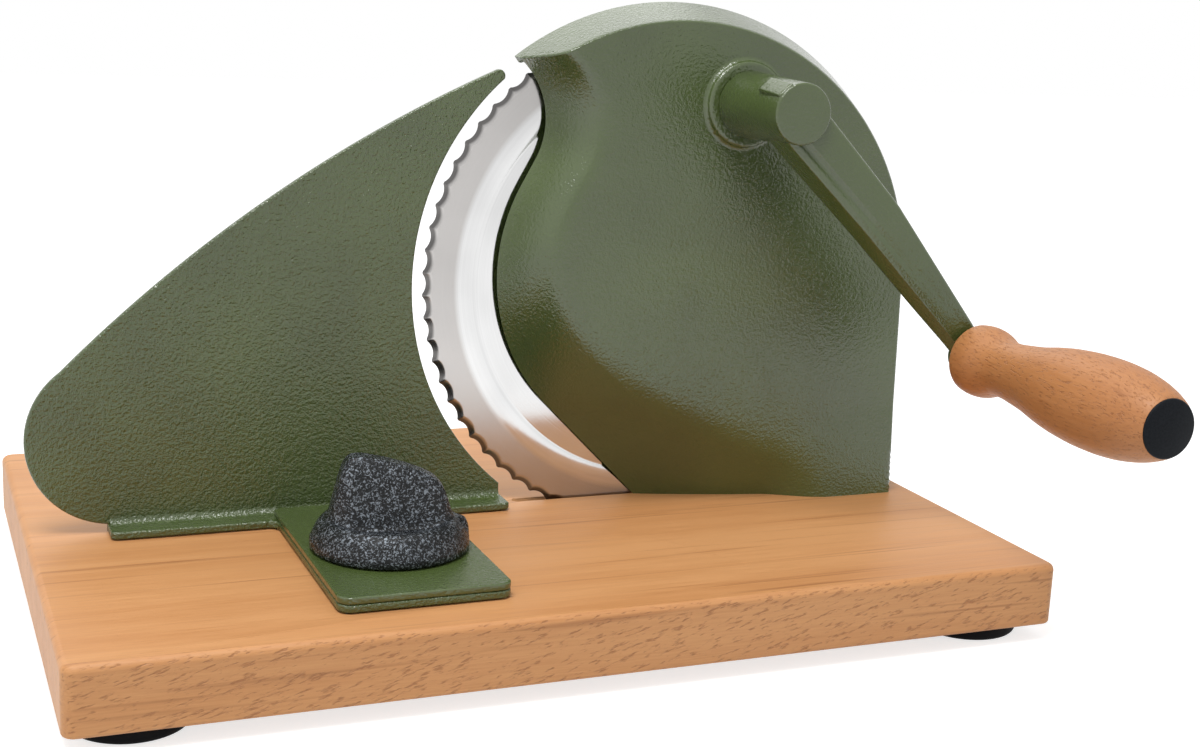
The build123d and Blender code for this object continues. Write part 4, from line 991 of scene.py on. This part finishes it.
def build_handle():
    """Turned handle and its cap, each a profile revolved about the bolt."""
    y = [48.2, 47.9, 47.2, 46, 44, 42, 40, 38, 36, 34, 31, 28, 25, 22, 18, 14, 10, 6, 2]
    y += [-2, -6, -10, -14, -18, -22, -26, -30, -34, -38, -42, -46, -50, -52, -54, -55.3, -55.8]
    r = [10.6, 11.5, 12.2, 12.8, 13.05, 13.1, 13.0, 12.7, 12.0, 11.25, 10.4, 10.15, 10.2, 10.5, 11, 11.5]
    r += [12.1, 12.9, 13.75, 14.4, 15, 15.4, 15.75, 16.0, 16.08, 16.1, 16.0, 15.7, 15.3, 14.6, 13.75]
    r += [12.55, 11.8, 10.95, 10.3, 9.9]
    start, end = y[0], y[-1]
    fine = np.linspace(start, end, 150)
    radius = np.interp(-fine, -np.array(y), r)
    weights = np.exp(-0.5 * (np.arange(-4, 5) / 1.8) ** 2)
    radius[4:-4] = np.convolve(radius, weights / weights.sum(), "valid")
    outer = np.stack((radius, fine), -1)
    cap_r, bore_r = 8.2, 6.09
    inside = [(cap_r, end), (cap_r, end + 14), (bore_r, end + 14), (bore_r, start)]
    grip = turned(np.concatenate((outer, inside, outer[:1])), (HANDLE_X, HANDLE_Z), 128)
    piece("turned_grip", "handle", [grip], "handle", ("handle_grip",))
    sine, cosine = quarter(7)
    rim = np.stack((9.0 + 0.8 * cosine, GRIP_END - 0.3 - 0.6 * sine), -1)
    dome_r = np.linspace(8.6, 0, 12)
    dome = np.stack((dome_r, CAP_NOSE + 0.9 * (dome_r / 9.0) ** 2), -1)
    pin = [[0, GRIP_END + 6], [8.1, GRIP_END + 6], [8.1, GRIP_END], [9.8, GRIP_END]]
    cap = turned(np.concatenate((pin, rim, dome)), (HANDLE_X, HANDLE_Z), 96)
    piece("end_cap", "handle", [cap], "cap", ("handle_cap",))


# ================================================================ board and feet
def build_board():
    """The board: a merged copy of its solid, so that its eased edges shade smoothly."""
    copy_of("board", "base", "board")


def build_feet():
    """Rubber feet: turned pads with an eased lower edge and a recess for the screw."""
    low, high = span("rubber_feet")
    foot, foot_r, ease = low[2], 18.5, 1.8
    sine, cosine = quarter(6)
    edge = np.stack((foot_r - ease * (1 - sine), foot + ease * (1 - cosine)), -1)
    rows = [(2.1, foot + 6), (2.1, foot + 3.6), (4.1, foot + 3.6), (4.1, foot)]
    rows += edge.tolist() + [(foot_r, foot + 5.4), (18.1, foot + 6), (2.1, foot + 6)]
    low, high = low + foot_r, high - foot_r
    spots = [(x, y) for x in (low[0], high[0]) for y in (low[1], high[1])]
    surfaces = [upright_turned(rows, spot, 72) for spot in spots]
    piece("feet", "base", surfaces, "rubber", ("rubber_feet",))


# ================================================================ solids kept as they are
KEPT = {
    "screw": "foot_screws housing_screws axle_screw rail_screws rack_screws blade_screws shoe_screws "
    "crank_grub_screw pinion_screw handle_bolt handle_washer spindle_clip",
    "brass": "crank_bush gear_bush handle_sleeve spindle_bush",
    "gear": "blade_axle blade_gear crank_shaft crank_pinion pinion_key knob_spindle knob_pinion",
    "aluminium": "guide_rails",
    "nylon": "gear_rack slide_shoes knob_washer",
}


def finish_solids():
    """Gives the solids that stay in view their finishes."""
    for kind, names in KEPT.items():
        for name in names.split():
            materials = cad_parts[name].data.materials
            materials.clear()
            materials.append(FINISHES[kind])


# ================================================================ stage
def build_stage(look):
    """Camera, lamps, world and floor."""
    scene = bpy.context.scene
    scene.view_settings.view_transform = "Standard"
    ahead = Vector((0.38169, 0.89790, -0.21934))
    right = Vector((0.92327, -0.38154, 0.04477))
    up = Vector((0.04349, 0.21960, 0.97464))
    camera_data = bpy.data.cameras.new("view")
    camera_data.sensor_width = 36
    camera_data.lens = look.lens
    camera_data.clip_start = 0.01
    camera = bpy.data.objects.new("view", camera_data)
    camera.matrix_world = Matrix((right, up, -ahead)).transposed().to_4x4()
    camera.matrix_world.translation = Vector(in_frame((-41.1, -468.4, 191.1))[0])
    scene.collection.objects.link(camera)
    scene.camera = camera

    lamps = (
        ("overhead", (-0.3, -0.3, 1.25), 0.55, look.top_power),
        ("left", (-1.05, -0.5, 0.65), 1.2, look.left_power),
        ("behind", (0.1, 0.9, 0.95), 1.0, look.back_power),
    )
    aim = Vector((0.02, 0.02, 0.08))
    for name, place, size, power in lamps:
        data = bpy.data.lights.new(name, "AREA")
        data.size = size
        data.energy = power
        lamp = bpy.data.objects.new(name, data)
        lamp.location = place
        lamp.rotation_euler = (aim - lamp.location).to_track_quat("-Z", "Y").to_euler()
        scene.collection.objects.link(lamp)

    white = (1, 1, 1, 1)
    world = bpy.data.worlds.new("studio")
    world.use_nodes = True
    scene.world = world
    tree = world.node_tree
    tree.nodes.clear()
    path = node(tree, "ShaderNodeLightPath").outputs
    seen = math(tree, "MAXIMUM", path["Is Camera Ray"], path["Is Transmission Ray"])
    seen = math(tree, "MAXIMUM", seen, path["Is Glossy Ray"])
    dim = node(tree, "ShaderNodeBackground", {"Color": white, "Strength": look.sky})
    bright = node(tree, "ShaderNodeBackground", {"Color": white, "Strength": 1.0})
    mix = node(tree, "ShaderNodeMixShader", {0: seen, 1: dim.outputs[0], 2: bright.outputs[0]})
    node(tree, "ShaderNodeOutputWorld", {"Surface": mix.outputs[0]})

    far = 3.0
    mesh = bpy.data.meshes.new("floor")
    corners = [(-far, -far, 0), (far, -far, 0), (far, far, 0), (-far, far, 0)]
    mesh.from_pydata(corners, [], [(0, 1, 2, 3)])
    material = bpy.data.materials.new("pale floor")
    material.use_nodes = True
    tree = material.node_tree
    tree.nodes.clear()
    path = node(tree, "ShaderNodeLightPath").outputs
    seen = math(tree, "MAXIMUM", path["Is Camera Ray"], path["Is Glossy Ray"])
    matt = node(tree, "ShaderNodeBsdfDiffuse", {"Color": (0.64, 0.64, 0.64, 1)})
    glow = node(tree, "ShaderNodeEmission", {"Color": white, "Strength": look.floor_glow})
    both = node(tree, "ShaderNodeAddShader", {0: matt.outputs[0], 1: glow.outputs[0]})
    mix = node(tree, "ShaderNodeMixShader", {0: seen, 1: matt.outputs[0], 2: both.outputs[0]})
    node(tree, "ShaderNodeOutputMaterial", {"Surface": mix.outputs[0]})
    mesh.materials.append(material)
    floor = bpy.data.objects.new("floor", mesh)
    scene.collection.objects.link(floor)


# ================================================================ add-on
SHARES = {"min": 0, "max": 1}


class SlicerColours(bpy.types.PropertyGroup):
    """Colours a user would change."""

    enamel: bpy.props.FloatVectorProperty(
        name="Enamel",
        description="Green of the cover, stop plate and crank",
        subtype="COLOR",
        default=(0.074, 0.108, 0.03),
        **SHARES,
    )
    beech_pale: bpy.props.FloatVectorProperty(
        name="Pale beech",
        description="Lighter tone of the wood",
        subtype="COLOR",
        default=(0.7, 0.345, 0.14),
        **SHARES,
    )
    beech_deep: bpy.props.FloatVectorProperty(
        name="Deep beech",
        description="Darker tone of the wood",
        subtype="COLOR",
        default=(0.6, 0.27, 0.098),
        **SHARES,
    )
    beech_mark: bpy.props.FloatVectorProperty(
        name="Marks",
        description="Short dark marks in the wood",
        subtype="COLOR",
        default=(0.3, 0.105, 0.03),
        **SHARES,
    )
    steel_ring: bpy.props.FloatVectorProperty(
        name="Blade ring",
        description="Brushed steel of the blade's ring",
        subtype="COLOR",
        default=(0.47, 0.455, 0.445),
        **SHARES,
    )
    steel_middle: bpy.props.FloatVectorProperty(
        name="Blade middle",
        description="Bright steel inside the blade's ring",
        subtype="COLOR",
        default=(0.62, 0.62, 0.62),
        **SHARES,
    )
    knob_dark: bpy.props.FloatVectorProperty(
        name="Knob ground",
        description="Dark ground of the knob's lacquer",
        subtype="COLOR",
        default=(0.002, 0.003, 0.004),
        **SHARES,
    )
    knob_silver: bpy.props.FloatVectorProperty(
        name="Knob silver",
        description="Silver islands in the knob's lacquer",
        subtype="COLOR",
        default=(0.2, 0.225, 0.255),
        **SHARES,
    )


class SlicerLook(bpy.types.PropertyGroup):
    """Camera and light."""

    lens: bpy.props.FloatProperty(
        name="Lens", description="Focal length on a 36 mm wide sensor", default=51.9, unit="CAMERA"
    )
    top_power: bpy.props.FloatProperty(
        name="Overhead", description="Softbox above", default=11.0, unit="POWER"
    )
    left_power: bpy.props.FloatProperty(
        name="Left", description="Softbox at the left", default=1.1, unit="POWER"
    )
    back_power: bpy.props.FloatProperty(
        name="Behind", description="Softbox behind", default=2.6, unit="POWER"
    )
    sky: bpy.props.FloatProperty(name="Sky", description="Light from all round", default=0.5, min=0)
    floor_glow: bpy.props.FloatProperty(
        name="Floor", description="Extra white the camera sees on the floor", default=0.72, min=0
    )


class SLICER_OT_finishes(bpy.types.Operator):
    """Make the finishes and give the kept solids theirs"""

    bl_idname = "slicer.finishes"
    bl_label = "Finishes"

    def execute(self, context):
        make_finishes(context.scene.slicer_colours)
        finish_solids()
        return {"FINISHED"}


class SLICER_OT_board(bpy.types.Operator):
    """Build the board and its feet"""

    bl_idname = "slicer.board"
    bl_label = "Board and feet"

    def execute(self, context):
        build_board()
        build_feet()
        return {"FINISHED"}


class SLICER_OT_cover(bpy.types.Operator):
    """Build the cover"""

    bl_idname = "slicer.cover"
    bl_label = "Cover"

    def execute(self, context):
        build_cover()
        return {"FINISHED"}


class SLICER_OT_blade(bpy.types.Operator):
    """Build the blade"""

    bl_idname = "slicer.blade"
    bl_label = "Blade"

    def execute(self, context):
        build_blade()
        return {"FINISHED"}


class SLICER_OT_stop(bpy.types.Operator):
    """Build the stop plate and the plate under the knob"""

    bl_idname = "slicer.stop"
    bl_label = "Stop plate"

    def execute(self, context):
        build_stop_plate()
        build_knob_plate()
        return {"FINISHED"}


class SLICER_OT_knob(bpy.types.Operator):
    """Build the knob"""

    bl_idname = "slicer.knob"
    bl_label = "Knob"

    def execute(self, context):
        build_knob()
        return {"FINISHED"}


class SLICER_OT_crank(bpy.types.Operator):
    """Build the crank and its handle"""

    bl_idname = "slicer.crank"
    bl_label = "Crank and handle"

    def execute(self, context):
        build_crank()
        build_handle()
        return {"FINISHED"}


class SLICER_OT_stage(bpy.types.Operator):
    """Set up the camera, lamps, world and floor"""

    bl_idname = "slicer.stage"
    bl_label = "Stage"

    def execute(self, context):
        build_stage(context.scene.slicer_look)
        return {"FINISHED"}


OPERATORS = (
    SLICER_OT_stage,
    SLICER_OT_finishes,
    SLICER_OT_board,
    SLICER_OT_cover,
    SLICER_OT_blade,
    SLICER_OT_stop,
    SLICER_OT_knob,
    SLICER_OT_crank,
)


class SLICER_PT_panel(bpy.types.Panel):
    """Lists the slicer's pieces, colours and light"""

    bl_label = "Bread slicer"
    bl_idname = "SLICER_PT_panel"
    bl_space_type = "VIEW_3D"
    bl_region_type = "UI"
    bl_category = "Slicer"

    def draw(self, context):
        column = self.layout.column()
        for operator in OPERATORS:
            column.operator(operator.bl_idname)
        for group in (context.scene.slicer_colours, context.scene.slicer_look):
            for name in group.bl_rna.properties.keys():
                if name not in ("rna_type", "name"):
                    column.prop(group, name)


CLASSES = (SlicerColours, SlicerLook, *OPERATORS, SLICER_PT_panel)


def register():
    for item in CLASSES:
        bpy.utils.register_class(item)
    bpy.types.Scene.slicer_colours = bpy.props.PointerProperty(type=SlicerColours)
    bpy.types.Scene.slicer_look = bpy.props.PointerProperty(type=SlicerLook)


def unregister():
    del bpy.types.Scene.slicer_look
    del bpy.types.Scene.slicer_colours
    for item in reversed(CLASSES):
        bpy.utils.unregister_class(item)


def main():
    """Builds everything."""
    register()
    bpy.ops.slicer.stage()
    bpy.ops.slicer.finishes()
    bpy.ops.slicer.board()
    bpy.ops.slicer.cover()
    bpy.ops.slicer.blade()
    bpy.ops.slicer.stop()
    bpy.ops.slicer.knob()
    bpy.ops.slicer.crank()


if __name__ == "__main__":
    main()
